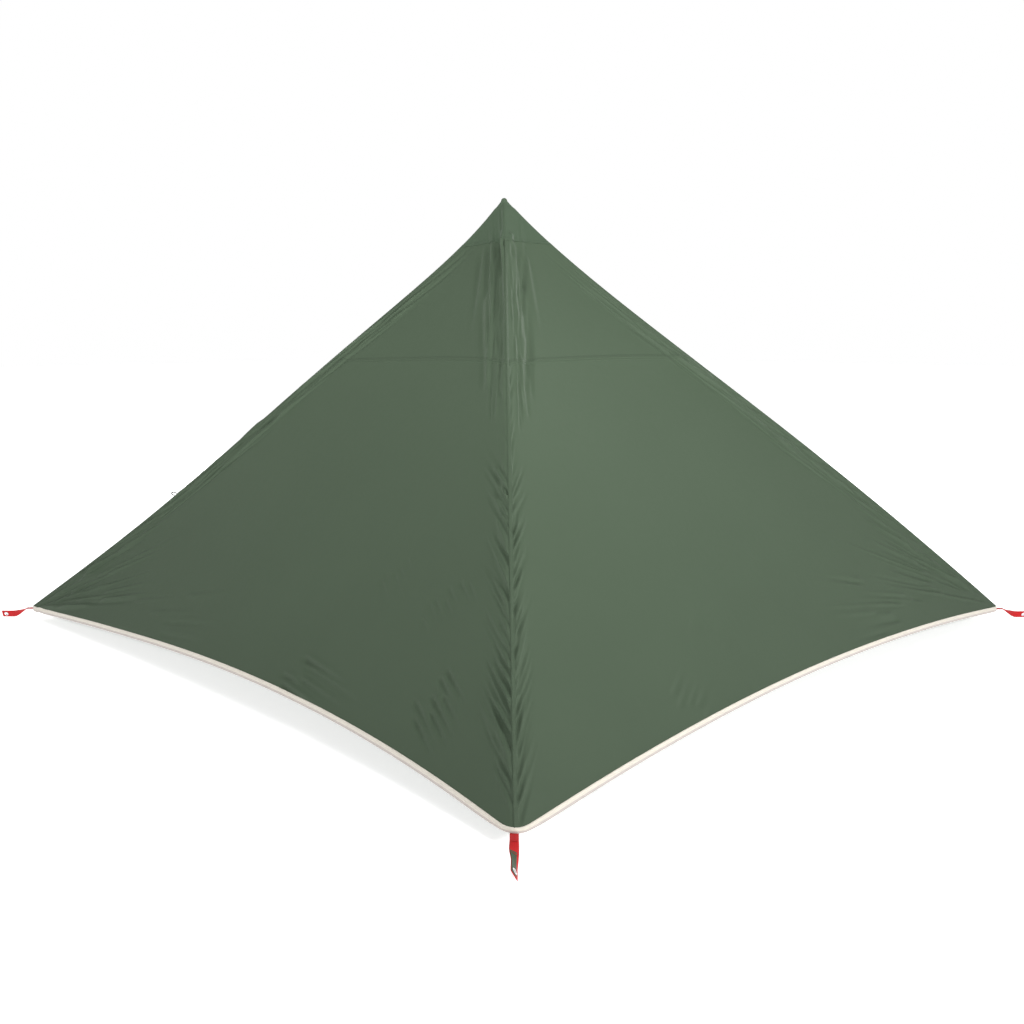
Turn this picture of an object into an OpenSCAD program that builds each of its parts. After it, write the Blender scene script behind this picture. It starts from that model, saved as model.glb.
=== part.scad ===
// Square pyramid tarp shelter on one telescopic centre pole, with a zipped two-leaf door.
// Origin on the ground under the middle of the footprint, +Z up, the door facing -Y.
// Corners and sides are counted anticlockwise from above: corner 0 is front right, 1 rear right,
// 2 rear left, 3 front left; side 0 is the right panel, 1 the rear, 2 the left, 3 the front.

/* [Canopy] */
// Side of the square footprint at the hem
base_w = 2400; // [2000:10:2900]
// Height of the canopy's top above the ground
peak_h = 1424; // [1250:1:1700]
// Height of the hem's corners above the ground
corner_h = 40; // [32:1:60]
// How far the apex stands from the middle, to the right and to the front
apex_shift = 24; // [0:1:40]
// Thickness of a panel
fabric_t = 1.2; // [0.8:0.1:1.6]
// Inward bow at the middle of a panel
panel_bow = 16; // [0:1:24]
// Height of the cross seams, as a share of the way up the slope
cross_seam_at = 0.63; // [0.5:0.005:0.7]
// Height of the apex patch's lower edge, as a share of the way up the slope
patch_at = 0.9; // [0.85:0.005:0.92]

/* [Edges] */
// Width of the binding tape on the hem
tape_w = 18; // [12:1:30]
// Thickness of the folded binding tape
tape_t = 2.4; // [1.6:0.1:3]
// Half width of a ridge seam, along the level
seam_w = 7; // [5:0.5:10]
// Thickness of a felled seam
seam_t = 2; // [1.4:0.1:2.4]

/* [Door] */
// Top of the door, as a share of the way up the slope
door_at = 0.8; // [0.75:0.01:0.82]
// Fabric kept beside a ridge when the door folds back
fold_w = 34; // [30:1:45]
// Width of one zip tape
zip_tape_w = 14; // [10:1:20]
// Length of the zip slider
slider_l = 22; // [18:1:28]
// Length of the puller
puller_l = 34; // [25:1:45]

/* [Pegging straps] */
// Width of the strap webbing
strap_w = 25; // [18:1:30]
// Thickness of the webbing
strap_t = 2; // [1.5:0.1:2.4]
// How far a strap reaches from its corner
strap_reach = 102; // [95:1:120]
// Radius of the hole through an eyelet
eyelet_r = 4; // [3.5:0.5:6]

/* [Pole] */
// Radius of the upper tube
upper_r = 9.5; // [9:0.5:10]
// Radius of the lower tube
lower_r = 11; // [10.5:0.5:12]
// Wall of both tubes
tube_wall = 1; // [0.8:0.1:1.2]
// Height of the lower tube's top end
lower_top = 745; // [600:5:800]
// Height of the upper tube's bottom end
upper_bottom = 500; // [400:5:560]

/* [Tie-backs] */
// Height of the tie-backs, as a share of the way up the ridge
tie_at = 0.305; // [0.2:0.005:0.4]
// Length of a toggle
toggle_l = 32; // [24:1:40]

/* [Hidden] */

$fn = 48;
gap = 0.4;                      // clearance between neighbouring soft pieces
FRONT = 3;
CORNERS = [[1, -1], [1, 1], [-1, 1], [-1, -1]];
RIDGE_SLACK = [30, 8, 0, 20];   // even inward sag of each ridge
CROWN_SLACK = [28, 15, 17, 16]; // further sag of each ridge below the apex patch
RIDGE_SWAY = [9, 0, -8, 0];     // how much more the lower half of each ridge sags than its upper half
HEM_RISE = [78, 66, 72, 72];    // how far each hem rises up the slope between its corners
HEM_SKEW = [0.33, 0, 0, 0];     // how far that rise leans towards the next corner
RISE_FADE = 1.2;                // how fast that rise dies out up the slope
top_drop = 6;                   // rounding of the top below the point where the ridges meet
apex = [apex_shift, -apex_shift, peak_h + top_drop];
slant = sqrt(pow(base_w / 2, 2) + pow(peak_h + top_drop - corner_h, 2));
tape_lap = 3;                   // how far the binding tape lies up the cloth; the rest hangs from its edge
tape_drop = tape_w - tape_lap;
hem_end = tape_lap / slant;     // top of the binding tape, as a share of the slope
leaf_start = hem_end + gap / slant;
door_gap = 3 / slant;           // gap over the door leaves
fabric = "#5c6e5a";
patch_green = "#5a6857";
seam_green = "#54644f";
cream = "#e1dcd0";
red = "#c01420";
black = "#1c1e1d";
metal = "#b9bcbf";

// ---------------------------------------------------------------- points and curves
function unit(a) = a / norm(a);
function mix(a, b, t) = a * (1 - t) + b * t;
function dot(a, b) = a * b;
function steps(a, b, n) = [for (k = [0 : n]) mix(a, b, k / n)];

function corner(i) = [CORNERS[i % 4].x * base_w / 2, CORNERS[i % 4].y * base_w / 2, corner_h];
function middle(s) = (corner(s) + corner(s + 1)) / 2;
function level_dir(s) = unit(corner(s + 1) - corner(s));
function slope_dir(s) = unit(apex - middle(s));
function face_out(s) = unit(cross(level_dir(s % 4), slope_dir(s % 4)));
function across(s) = cross(slope_dir(s), face_out(s));
function width_at(v) = base_w * (1 - v);

// the sag of a ridge, square to its chord and inwards, peaking again under the apex patch
crown_peak = pow(6 / 7, 6) / 7;
function ridge_sag(i, v) =
    RIDGE_SLACK[i % 4] * 4 * v * (1 - v) + CROWN_SLACK[i % 4] * pow(v, 6) * (1 - v) / crown_peak
    + RIDGE_SWAY[i % 4] * sin(360 * v);
function ridge_dir(i) = unit(apex - corner(i));
function ridge_in(i) = unit(ridge_dir(i) * ridge_dir(i).z - [0, 0, 1]);
function ridge_out(i) = unit(face_out(i + 3) + face_out(i));
function ridge(i, v) = mix(corner(i), apex, v) + ridge_in(i) * ridge_sag(i, v);

// how much of each end ridge's sag a point across the panel takes; the zip keeps the front's middle straight
function share_start(s, u) = s == FRONT ? pow(max(0, 1 - 2 * u), 1.5) : 1 - u;
function share_end(s, u) = share_start(s, 1 - u);
function bow(s, u, v) =
    panel_bow * 4 * v * (1 - v) * (s == FRONT ? pow(sin(360 * u), 2) / 2 : 4 * u * (1 - u));
function hem_rise(s, u) = HEM_RISE[s] * 4 * u * (1 - u) * (1 + HEM_SKEW[s] * (2 * u - 1));

// a point of side s: u runs from its first corner to its second, v from the hem to the apex
function panel(s, u, v) =
    mix(mix(corner(s), apex, v), mix(corner(s + 1), apex, v), u)
    + ridge_in(s) * ridge_sag(s, v) * share_start(s, u)
    + ridge_in(s + 1) * ridge_sag(s + 1, v) * share_end(s, u)
    + slope_dir(s) * hem_rise(s, u) * pow(1 - v, RISE_FADE)
    - face_out(s) * bow(s, u, v);

// ---------------------------------------------------------------- the door's fold lines
// A fold line is straight, from the hem to the door's top; end 0 is the left leaf's, end 1 the right's.
function near_end(end, u) = end == 0 ? u : 1 - u;
function fold_point(end, v) = panel(FRONT, near_end(end, fold_w / width_at(v)), v);
function in_face(p) = [dot(p - middle(FRONT), across(FRONT)), dot(p - middle(FRONT), slope_dir(FRONT))];
function beside(a, b, p) = ((b - a).x * (p - a).y - (b - a).y * (p - a).x) / norm(b - a);
fold_feet = [for (end = [0, 1]) in_face(fold_point(end, 0))];
fold_tops = [for (end = [0, 1]) in_face(fold_point(end, door_at))];

// u of the point at height v that lies off from the fold line, positive to the left of it
function fold_u(end, v, off, u, n = 5) =
    n == 0 ? u :
    let (
        miss = beside(fold_feet[end], fold_tops[end], in_face(panel(FRONT, u, v))) - off,
        rise = (fold_tops[end] - fold_feet[end]).y / norm(fold_tops[end] - fold_feet[end])
    )
    fold_u(end, v, off, u + miss / (rise * width_at(v)), n - 1);
function fold_edge(end, off) = function (v)
    fold_u(end, v, off, near_end(end, fold_w / width_at(v)));
fold_clear = 3;

// edges of the soft pieces, each giving u at a height v
after_seam = function (v) (seam_w + gap) / width_at(v);
before_seam = function (v) 1 - (seam_w + gap) / width_at(v);
function from_middle(d) = function (v) 0.5 + d / width_at(v);

// ---------------------------------------------------------------- closed sheets
// A sheet between an outer and an inner grid of points, seen from outside left to right and bottom to top.
module slab(outer, inner) {
    rows = len(outer);
    cols = len(outer[0]);
    back = rows * cols;
    function at(r, c) = r * cols + c;
    polyhedron(
        points = [for (row = outer) each row, for (row = inner) each row],
        faces = [
            for (r = [0 : rows - 2], c = [0 : cols - 2])
                let (a = at(r, c), b = at(r, c + 1), e = at(r + 1, c + 1), d = at(r + 1, c))
                each [[a, d, e], [a, e, b], [a + back, b + back, e + back], [a + back, e + back, d + back]],
            for (c = [0 : cols - 2])
                let (a = at(0, c), b = at(0, c + 1), d = at(rows - 1, c), e = at(rows - 1, c + 1))
                each [[a, b, b + back], [a, b + back, a + back], [e, d, d + back], [e, d + back, e + back]],
            for (r = [0 : rows - 2])
                let (a = at(r, 0), d = at(r + 1, 0), b = at(r, cols - 1), e = at(r + 1, cols - 1))
                each [[d, a, a + back], [d, a + back, d + back], [b, e, e + back], [b, e + back, b + back]]
        ]
    );
}

// a piece of side s between two edges and at the heights vs, from out_t outside to in_t inside the surface
module cloth(s, left_edge, right_edge, vs, cols, out_t = 0, in_t = fabric_t) {
    grid = [for (v = vs) [for (t = steps(0, 1, cols)) panel(s, mix(left_edge(v), right_edge(v), t), v)]];
    lift = face_out(s);
    slab(
        [for (row = grid) [for (p = row) p + lift * out_t]],
        [for (row = grid) [for (p = row) p - lift * in_t]]
    );
}

panel_cols = 16;                // one count for all that meets along a hem or a seam, so that the facets agree
leaf_cols = 8;
lower_rows = steps(leaf_start, cross_seam_at - seam_w / slant, 6);
upper_rows = steps(cross_seam_at + seam_w / slant, patch_at - gap / slant, 5);
module panel_lower(s) {
    color(fabric) cloth(s, after_seam, before_seam, lower_rows, panel_cols);
}
module panel_upper(s) {
    color(fabric) cloth(s, after_seam, before_seam, upper_rows, panel_cols);
}
module cross_seam(s) {
    reach = (seam_w - gap) / slant;
    color(seam_green)
        cloth(s, after_seam, before_seam, [cross_seam_at - reach, cross_seam_at + reach], panel_cols,
            seam_t - fabric_t, fabric_t);
}
module hem_tape(s, left_edge = after_seam, right_edge = before_seam, cols = panel_cols) {
    rows = [for (v = [0, hem_end]) [for (t = steps(0, 1, cols)) panel(s, mix(left_edge(v), right_edge(v), t), v)]];
    function side(out) = [
        [for (p = rows[0]) p + face_out(s) * out - [0, 0, tape_drop]],
        for (row = rows) [for (p = row) p + face_out(s) * out]
    ];
    color(cream) slab(side((tape_t - fabric_t) / 2), side(-(tape_t + fabric_t) / 2));
}

// ---------------------------------------------------------------- ridges and apex
module ridge_seam(i) {
    left = (i + 3) % 4;
    miter = dot(ridge_out(i), face_out(i));
    out_t = seam_t - fabric_t;
    vs = steps(0, patch_at - gap / slant, 16);
    function row(v, t) = [
        panel(left, 1 - seam_w / width_at(v), v) + face_out(left) * t,
        ridge(i, v) + ridge_out(i) * t / miter,
        panel(i, seam_w / width_at(v), v) + face_out(i) * t
    ];
    function side(t) = [[for (p = row(0, t)) p - [0, 0, tape_drop]], for (v = vs) row(v, t)];
    color(seam_green) slab(side(out_t), side(-fabric_t));
}

patch_lift = 0.6;               // how far the patch stands out from the cloth's face
module apex_patch() {
    per_side = panel_cols;
    top_t = 3;
    around = 4 * per_side;
    vs = [patch_at, 0.92, 0.955, 0.985];
    out_t = patch_lift;
    rings = len(vs);
    function ring(v, t) = [
        for (s = [0 : 3], k = [0 : per_side - 1])
            k == 0
                ? ridge(s, v) + ridge_out(s) * t / dot(ridge_out(s), face_out(s))
                : panel(s, k / per_side, v) + face_out(s) * t
    ];
    top = [apex.x, apex.y, peak_h];
    points = [
        for (v = vs) each ring(v, out_t),
        for (v = vs) each ring(v, -fabric_t),
        top,
        top - [0, 0, top_t]
    ];
    back = rings * around;
    function at(r, k) = r * around + k % around;
    color(patch_green) polyhedron(
        points = points,
        faces = [
            for (r = [0 : rings - 2], k = [0 : around - 1])
                let (a = at(r, k), b = at(r, k + 1), e = at(r + 1, k + 1), d = at(r + 1, k))
                each [[a, d, e], [a, e, b], [a + back, b + back, e + back], [a + back, e + back, d + back]],
            for (k = [0 : around - 1])
                let (a = at(0, k), b = at(0, k + 1), d = at(rings - 1, k), e = at(rings - 1, k + 1))
                each [
                    [a, b, b + back], [a, b + back, a + back],
                    [d, 2 * back, e], [e + back, 2 * back + 1, d + back]
                ]
        ]
    );
}

// ---------------------------------------------------------------- pole
pole_x = apex.x;
pole_y = apex.y;
cap_r = 9;
cap_skirt = 20;                 // straight part of the cap below its dome
cap_z = apex.z - 31.5;          // centre of the cap's dome, where the pole leans from
cup_roof = apex.z - 22;
cup_mouth = apex.z - 54;
cup_wall = 1.5;
cup_top_r = 6;
cup_mouth_r = 22;
foot_h = 32;
foot_floor = 8;
foot_r = 15;
foot_top_r = 13;
foot_rim = 6;                   // straight part of the foot above the ground
collar_bottom = lower_top - 18;
collar_top = lower_top + 22;
collar_r = 16;
collar_rim = 1;                 // from the collar's ends to its lugs
pin_x = collar_r + 6.5;
pin_r = 2;
hub_r = 5;
lug_h = 8;
on_tube = 0.05;                 // radial clearance of a part fixed on a tube
sliding = 0.2;                  // radial clearance of a part that slides or turns

module on_pole() {
    translate([pole_x, pole_y, 0]) children();
}
module turned(points) {
    rotate_extrude() polygon(points);
}
module tube(r, from, to) {
    turned([[r - tube_wall, from], [r, from], [r, to], [r - tube_wall, to]]);
}

module apex_cup() {
    color(patch_green) on_pole() turned([
        [0, cup_roof], [cup_top_r, cup_roof], [cup_mouth_r, cup_mouth],
        [cup_mouth_r + cup_wall, cup_mouth], [cup_top_r + cup_wall, cup_roof + cup_wall], [0, cup_roof + cup_wall]
    ]);
}
module pole_top_cap() {
    spigot = 45;
    color(black) on_pole() {
        rotate_extrude() union() {
            intersection() {
                translate([0, cap_z]) circle(cap_r);
                translate([0, cap_z]) square(cap_r);
            }
            translate([0, cap_z - cap_skirt]) square([cap_r, cap_skirt]);
            translate([0, cap_z - spigot]) square([upper_r - tube_wall - on_tube, spigot]);
        }
    }
}
module pole_upper_tube() {
    color(metal) on_pole() tube(upper_r, upper_bottom, cap_z - cap_skirt - gap);
}
module slide_bushing() {
    below = 14;
    above = 20;
    wall = 1.5;
    outer = lower_r - tube_wall - sliding / 2;
    inner = upper_r - tube_wall - on_tube;
    color(black) on_pole() turned([
        [inner - wall, upper_bottom - below], [outer, upper_bottom - below], [outer, upper_bottom - gap],
        [inner, upper_bottom - gap], [inner, upper_bottom + above], [inner - wall, upper_bottom + above]
    ]);
}
module pole_lower_tube() {
    color(metal) on_pole() tube(lower_r, foot_floor + gap, lower_top);
}
module pole_foot() {
    color(black) on_pole() turned([
        [0, 0], [foot_r, 0], [foot_r, foot_rim], [foot_top_r, foot_h],
        [lower_r + on_tube, foot_h], [lower_r + on_tube, foot_floor], [0, foot_floor]
    ]);
}
module clamp_collar() {
    lug_w = 2 * hub_r;
    color(black) on_pole() difference() {
        union() {
            translate([0, 0, collar_bottom]) cylinder(h = collar_top - collar_bottom, r = collar_r);
            for (z = [collar_bottom + collar_rim, collar_top - collar_rim - lug_h]) translate([0, 0, z]) {
                translate([0, -lug_w / 2, 0]) cube([pin_x, lug_w, lug_h]);
                translate([pin_x, 0, 0]) cylinder(h = lug_h, r = hub_r);
            }
        }
        translate([0, 0, collar_bottom - collar_rim])
            cylinder(h = lower_top + gap - collar_bottom + collar_rim, r = lower_r + on_tube);
        translate([0, 0, collar_bottom]) cylinder(h = collar_top, r = upper_r + sliding);
        translate([pin_x, 0, collar_bottom]) cylinder(h = collar_top, r = pin_r + on_tube);
    }
}
module clamp_pin() {
    head_h = 1;
    head_lip = 1.2;
    head_from = collar_top - collar_rim + gap;
    pin_from = collar_bottom + collar_rim / 2;
    color(metal) on_pole() translate([pin_x, 0, 0]) {
        translate([0, 0, pin_from]) cylinder(h = collar_top - collar_rim / 2 - pin_from, r = pin_r);
        translate([0, 0, head_from]) cylinder(h = head_h, r = pin_r + head_lip);
    }
}
module clamp_lever() {
    bottom = collar_bottom + collar_rim + lug_h + gap;
    height = collar_top - collar_rim - lug_h - gap - bottom;
    arm_t = 3.5;
    arm_in = collar_r + 1;
    arm_out = arm_in + arm_t;
    root = 8;
    wrap = 125;
    thumb_back = 8;
    thumb = [6, 3];
    wedge = 2 * arm_out;
    color(red) on_pole() translate([0, 0, bottom]) linear_extrude(height = height) difference() {
        union() {
            intersection() {
                difference() {
                    circle(arm_out);
                    circle(arm_in);
                }
                polygon([
                    [0, 0], [wedge * cos(root), wedge * sin(root)], [wedge, wedge],
                    [-wedge, wedge], [wedge * cos(wrap), wedge * sin(wrap)]
                ]);
            }
            rotate(wrap - thumb_back) translate([arm_out - arm_t + 1, 0]) square(thumb);
            translate([pin_x, 0]) circle(hub_r);
        }
        translate([pin_x, 0]) circle(pin_r + sliding / 2);
    }
}

// ---------------------------------------------------------------- pegging straps
// Each strap leaves its corner flat, falls towards the ground and twists on the way, and its end is straight.
STRAP_TWIST = [70, -60, -70, 60];
eyelet_flange = 0.8;
eyelet_flange_r = eyelet_r + 3;
eyelet_barrel_r = eyelet_r + 1.2;
strap_root = 4;
strap_root_z = corner_h - strap_root;
strap_bend = strap_reach - 38;  // where the twist is complete
strap_end_z = 15;
eyelet_at = strap_reach - 14;

module at_corner(i) {
    turn = atan2(CORNERS[i].y, CORNERS[i].x);
    rotate([0, 0, turn]) translate([base_w / sqrt(2), 0, 0]) children();
}
// the strap's middle and its turn about its own length, at a share t of the way to the bend
function strap_middle(t) = [mix(strap_root, strap_bend, t), 0, mix(strap_root_z, strap_end_z, t * t * (3 - 2 * t))];
function strap_turn(i, t) = STRAP_TWIST[i] * t * t * (3 - 2 * t);
function strap_row(i, p, turn, lift) = [
    for (y = [strap_w / 2, 0, -strap_w / 2]) p + [0, y * cos(turn) - lift * sin(turn), y * sin(turn) + lift * cos(turn)]
];
module peg_strap(i) {
    bends = steps(0, 1, 8);
    function side(lift) = [
        for (t = bends) strap_row(i, strap_middle(t), strap_turn(i, t), lift),
        strap_row(i, [strap_reach, 0, strap_end_z], STRAP_TWIST[i], lift)
    ];
    color(red) at_corner(i) difference() {
        slab(side(-strap_t / 2), side(strap_t / 2));
        // an eighth turn keeps the hole's seam line clear of the strap's middle line
        at_eyelet(i) rotate(45) cylinder(h = strap_w, r = eyelet_barrel_r + on_tube, center = true);
    }
}
module at_eyelet(i) {
    translate([eyelet_at, 0, strap_end_z]) rotate([STRAP_TWIST[i], 0, 0]) children();
}
module eyelet(i) {
    half = strap_t / 2 + eyelet_flange;
    color(metal) at_corner(i) at_eyelet(i) difference() {
        union() {
            for (z = [-half, half - eyelet_flange])
                translate([0, 0, z]) cylinder(h = eyelet_flange, r = eyelet_flange_r);
            cylinder(h = 2 * half, r = eyelet_barrel_r, center = true);
        }
        cylinder(h = 4 * half, r = eyelet_r, center = true);
    }
}

// ---------------------------------------------------------------- tie-backs on the front ridges
cord_r = 1.5;
loop_r = 6.5;
loop_leg = 8;
loop_off = 0.6;                 // from the ridge seam to the loop's legs
tab_w = 9;
tab_t = 1.5;
tab_h = 26;                     // from the ridge down to the tab's eye
tab_clear = 8;                  // from the ridge down to the tab's upper end
tab_hole_r = 2.2;
tab_in = 11;                    // how far inside the ridge a tab hangs
link_r = 9;
link_cord_r = 1;
toggle_r = 4;
toggle_hole_r = 2.1;

module along_ridge(i) {
    p = ridge(i, tie_at) + ridge_out(i) * (seam_t - fabric_t + loop_off);
    x = ridge_out(i);
    y = ridge_dir(i);
    z = cross(x, y);
    multmatrix([
        [x.x, y.x, z.x, p.x],
        [x.y, y.y, z.y, p.y],
        [x.z, y.z, z.z, p.z],
        [0, 0, 0, 1]
    ]) children();
}
module tie_loop(i) {
    color(black) along_ridge(i) {
        for (y = [-loop_r, loop_r]) translate([0, y, 0]) rotate([0, 90, 0]) cylinder(h = loop_leg, r = cord_r);
        translate([loop_leg, 0, 0]) rotate([0, 0, -90]) rotate_extrude(angle = 180) translate([loop_r, 0]) circle(cord_r);
    }
}
// hangs children at the tab's eye, with +X out along the diagonal
module at_tab_eye(i) {
    turn = atan2(CORNERS[i].y, CORNERS[i].x);
    p = ridge(i, tie_at);
    translate([p.x, p.y, p.z - tab_h]) rotate([0, 0, turn]) translate([-tab_in, 0, 0]) children();
}
module toggle_tab(i) {
    eye = 3.6;
    color(black) at_tab_eye(i) difference() {
        translate([-tab_t / 2, -tab_w / 2, -eye]) cube([tab_t, tab_w, tab_h - tab_clear]);
        translate([-tab_t, 0, 0]) rotate([0, 90, 0]) cylinder(h = 3 * tab_t, r = tab_hole_r);
    }
}
module toggle_cord(i) {
    color(black) at_tab_eye(i) translate([0, 0, -link_r]) rotate([90, 0, 0])
        rotate_extrude() translate([link_r, 0]) circle(link_cord_r);
}
module toggle(i) {
    color("#2c2f2d") at_tab_eye(i) translate([0, 0, -2 * link_r]) difference() {
        rotate([90, 0, 0]) cylinder(h = toggle_l, r = toggle_r, center = true);
        translate([-2 * toggle_r, 0, 0]) rotate([0, 90, 0]) cylinder(h = 4 * toggle_r, r = toggle_hole_r);
    }
}

// ---------------------------------------------------------------- door leaves and zip
coil_in = 0.8;                  // from the middle of the zip to the coil
coil_out = 3.4;
coil_t = 3;
zip_bottom = leaf_start;
zip_top = door_at - door_gap;
header_rows = 3;
margin_rows = 10;
margin_cols = 2;
slider_room = 33 / slant;       // the left chain stops this far short, so that its leaf swings past the slider

leaf_rows = steps(leaf_start, cross_seam_at, 7);
head_rows = steps(cross_seam_at + gap / slant, door_at - door_gap, 3);
tape_edge = zip_tape_w + coil_out;
// each leaf's edges, from left to right
function leaf_left(end) = end == 0 ? fold_edge(0, -fold_clear) : from_middle(tape_edge + gap);
function leaf_right(end) = end == 0 ? from_middle(-tape_edge - gap) : fold_edge(1, fold_clear);

module door_leaf(end, vs) {
    color(fabric) cloth(FRONT, leaf_left(end), leaf_right(end), vs, leaf_cols);
}
module door_hem_tape(end) {
    hem_tape(FRONT, leaf_left(end), leaf_right(end), leaf_cols);
}
module door_margin(end) {
    vs = steps(0, door_at - door_gap, margin_rows);
    color(fabric)
        if (end == 0) cloth(FRONT, after_seam, fold_edge(0, fold_clear), vs, margin_cols);
        else cloth(FRONT, fold_edge(1, -fold_clear), before_seam, vs, margin_cols);
}
module door_header() {
    color(fabric) cloth(FRONT, after_seam, before_seam, steps(door_at, patch_at - gap / slant, header_rows), panel_cols);
}
module zip_tape(end) {
    room = end == 0 ? slider_room : 0;
    vs = [zip_bottom + room, door_at / 2, zip_top - room];
    tape_out = 0.2;
    tape_in = 0.8;
    chain_from = coil_t / 2 - 0.3;
    chain_to = coil_t / 2 + 0.3;
    side = end == 0 ? -1 : 1;
    function edge(d) = from_middle(side * d);
    color(black) {
        if (end == 0) {
            cloth(FRONT, edge(tape_edge), edge(coil_out + gap), vs, 1, tape_out, tape_in);
            cloth(FRONT, edge(coil_out), edge(coil_in), vs, 1, chain_from, chain_to);
        } else {
            cloth(FRONT, edge(coil_out + gap), edge(tape_edge), vs, 1, tape_out, tape_in);
            cloth(FRONT, edge(coil_in), edge(coil_out), vs, 1, chain_from, chain_to);
        }
    }
}

// +X across the zip, +Y up the slope and +Z out of the face, from the slider's resting place
zip_mid = -0.3;                 // middle of the coil, from the face
slider_rest = hem_rise(FRONT, 0.5) + tape_lap + slider_l / 2 + 2;
module at_slider() {
    x = across(FRONT);
    y = slope_dir(FRONT);
    z = face_out(FRONT);
    p = middle(FRONT) + y * slider_rest + z * zip_mid;
    multmatrix([
        [x.x, y.x, z.x, p.x],
        [x.y, y.y, z.y, p.y],
        [x.z, y.z, z.z, p.z],
        [0, 0, 0, 1]
    ]) children();
}
plate_t = 1.6;
plate_at = coil_t / 2 + 0.5;    // from the coil's middle to a slider plate
slider_w = 11;
puller_t = 2;
eye_r = 2.4;                    // outside of the puller's eye
axle_r = 1.2;
puller_lift = 0.4;              // from the upper plate to the puller's eye
puller_z = plate_at + plate_t + eye_r + puller_lift;
lug_in = 2.8;
lug_t = 1.2;
sunk = 0.01;                    // how far parts that are one solid run into each other
module slider_plate() {
    tail_l = 4;
    tail_w = slider_w - 3;
    linear_extrude(height = plate_t) hull() {
        translate([0, slider_l / 2 - slider_w / 2]) circle(slider_w / 2, $fn = 32);
        translate([0, (tail_l - slider_l) / 2]) square([tail_w, tail_l], center = true);
    }
}
module zip_slider() {
    post_w = 2 * (coil_in - 0.3);
    post_l = 5;
    post_back = 2;
    post_h = 2 * (plate_at + sunk);
    color(metal) at_slider() {
        translate([0, 0, plate_at]) slider_plate();
        translate([0, 0, -plate_at - plate_t]) slider_plate();
        translate([-post_w / 2, slider_l / 2 - post_back - post_l, -post_h / 2]) cube([post_w, post_l, post_h]);
        for (x = [-lug_in - lug_t, lug_in]) translate([x, 0, plate_at + plate_t - sunk]) {
            translate([0, -eye_r, 0]) cube([lug_t, 2 * eye_r, puller_z - plate_at - plate_t]);
            translate([0, 0, eye_r + puller_lift]) rotate([0, 90, 0]) cylinder(h = lug_t, r = eye_r);
        }
        translate([-lug_in, 0, puller_z]) rotate([0, 90, 0]) cylinder(h = 2 * lug_in, r = axle_r);
    }
}
eye_play = 0.3;                 // on each side of the puller's eye, and round its axle
module zip_puller() {
    eye_w = 2 * (lug_in - eye_play);
    shank_l = 8;
    end_w = 8;
    blade_from = 6;
    color(metal) at_slider() translate([0, 0, puller_z]) difference() {
        union() {
            rotate([0, 90, 0]) cylinder(h = eye_w, r = eye_r, center = true);
            translate([0, 0, -puller_t / 2]) linear_extrude(height = puller_t) {
                translate([-eye_w / 2, -shank_l]) square([eye_w, shank_l]);
                translate([0, end_w / 2 - puller_l]) circle(end_w / 2);
                translate([-end_w / 2, end_w / 2 - puller_l]) square([end_w, puller_l - end_w / 2 - blade_from]);
            }
        }
        rotate([0, 90, 0]) cylinder(h = slider_w, r = axle_r + eye_play / 3, center = true);
        translate([0, end_w / 2 - puller_l, -puller_t]) cylinder(h = 2 * puller_t, r = end_w / 4);
    }
}

// ---------------------------------------------------------------- the assembly
panel_lower(1);  // rear_panel_lower
panel_upper(1);  // rear_panel_upper
panel_lower(0);  // right_panel_lower
panel_upper(0);  // right_panel_upper
panel_lower(2);  // left_panel_lower
panel_upper(2);  // left_panel_upper
door_header();  // front_panel_header
door_margin(1);  // right_door_margin
door_margin(0);  // left_door_margin
ridge_seam(0);  // front_right_ridge_seam
ridge_seam(1);  // rear_right_ridge_seam
ridge_seam(2);  // rear_left_ridge_seam
ridge_seam(3);  // front_left_ridge_seam
cross_seam(0);  // right_cross_seam
cross_seam(1);  // rear_cross_seam
cross_seam(2);  // left_cross_seam
apex_patch();
apex_cup();
hem_tape(1);  // rear_hem_tape
hem_tape(0);  // right_hem_tape
hem_tape(2);  // left_hem_tape
tie_loop(0);  // right_tie_loop
tie_loop(3);  // left_tie_loop
toggle_tab(0);  // right_toggle_tab
toggle_tab(3);  // left_toggle_tab
toggle(0);  // right_toggle
toggle(3);  // left_toggle
toggle_cord(0);  // right_toggle_cord
toggle_cord(3);  // left_toggle_cord
door_leaf(1, leaf_rows);  // right_door_lower
door_leaf(1, head_rows);  // right_door_upper
door_hem_tape(1);  // right_door_hem_tape
zip_tape(1);  // right_zip_tape
door_leaf(0, leaf_rows);  // left_door_lower
door_leaf(0, head_rows);  // left_door_upper
door_hem_tape(0);  // left_door_hem_tape
zip_tape(0);  // left_zip_tape
zip_slider();
zip_puller();
pole_top_cap();
pole_upper_tube();
slide_bushing();
pole_lower_tube();
pole_foot();
clamp_collar();
clamp_pin();
clamp_lever();
peg_strap(0);  // front_right_strap
peg_strap(1);  // rear_right_strap
peg_strap(2);  // rear_left_strap
peg_strap(3);  // front_left_strap
eyelet(0);  // front_right_eyelet
eyelet(1);  // rear_right_eyelet
eyelet(2);  // rear_left_eyelet
eyelet(3);  // front_left_eyelet
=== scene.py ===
import math

import bpy
import numpy as np
from mathutils import Matrix, Vector


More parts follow.
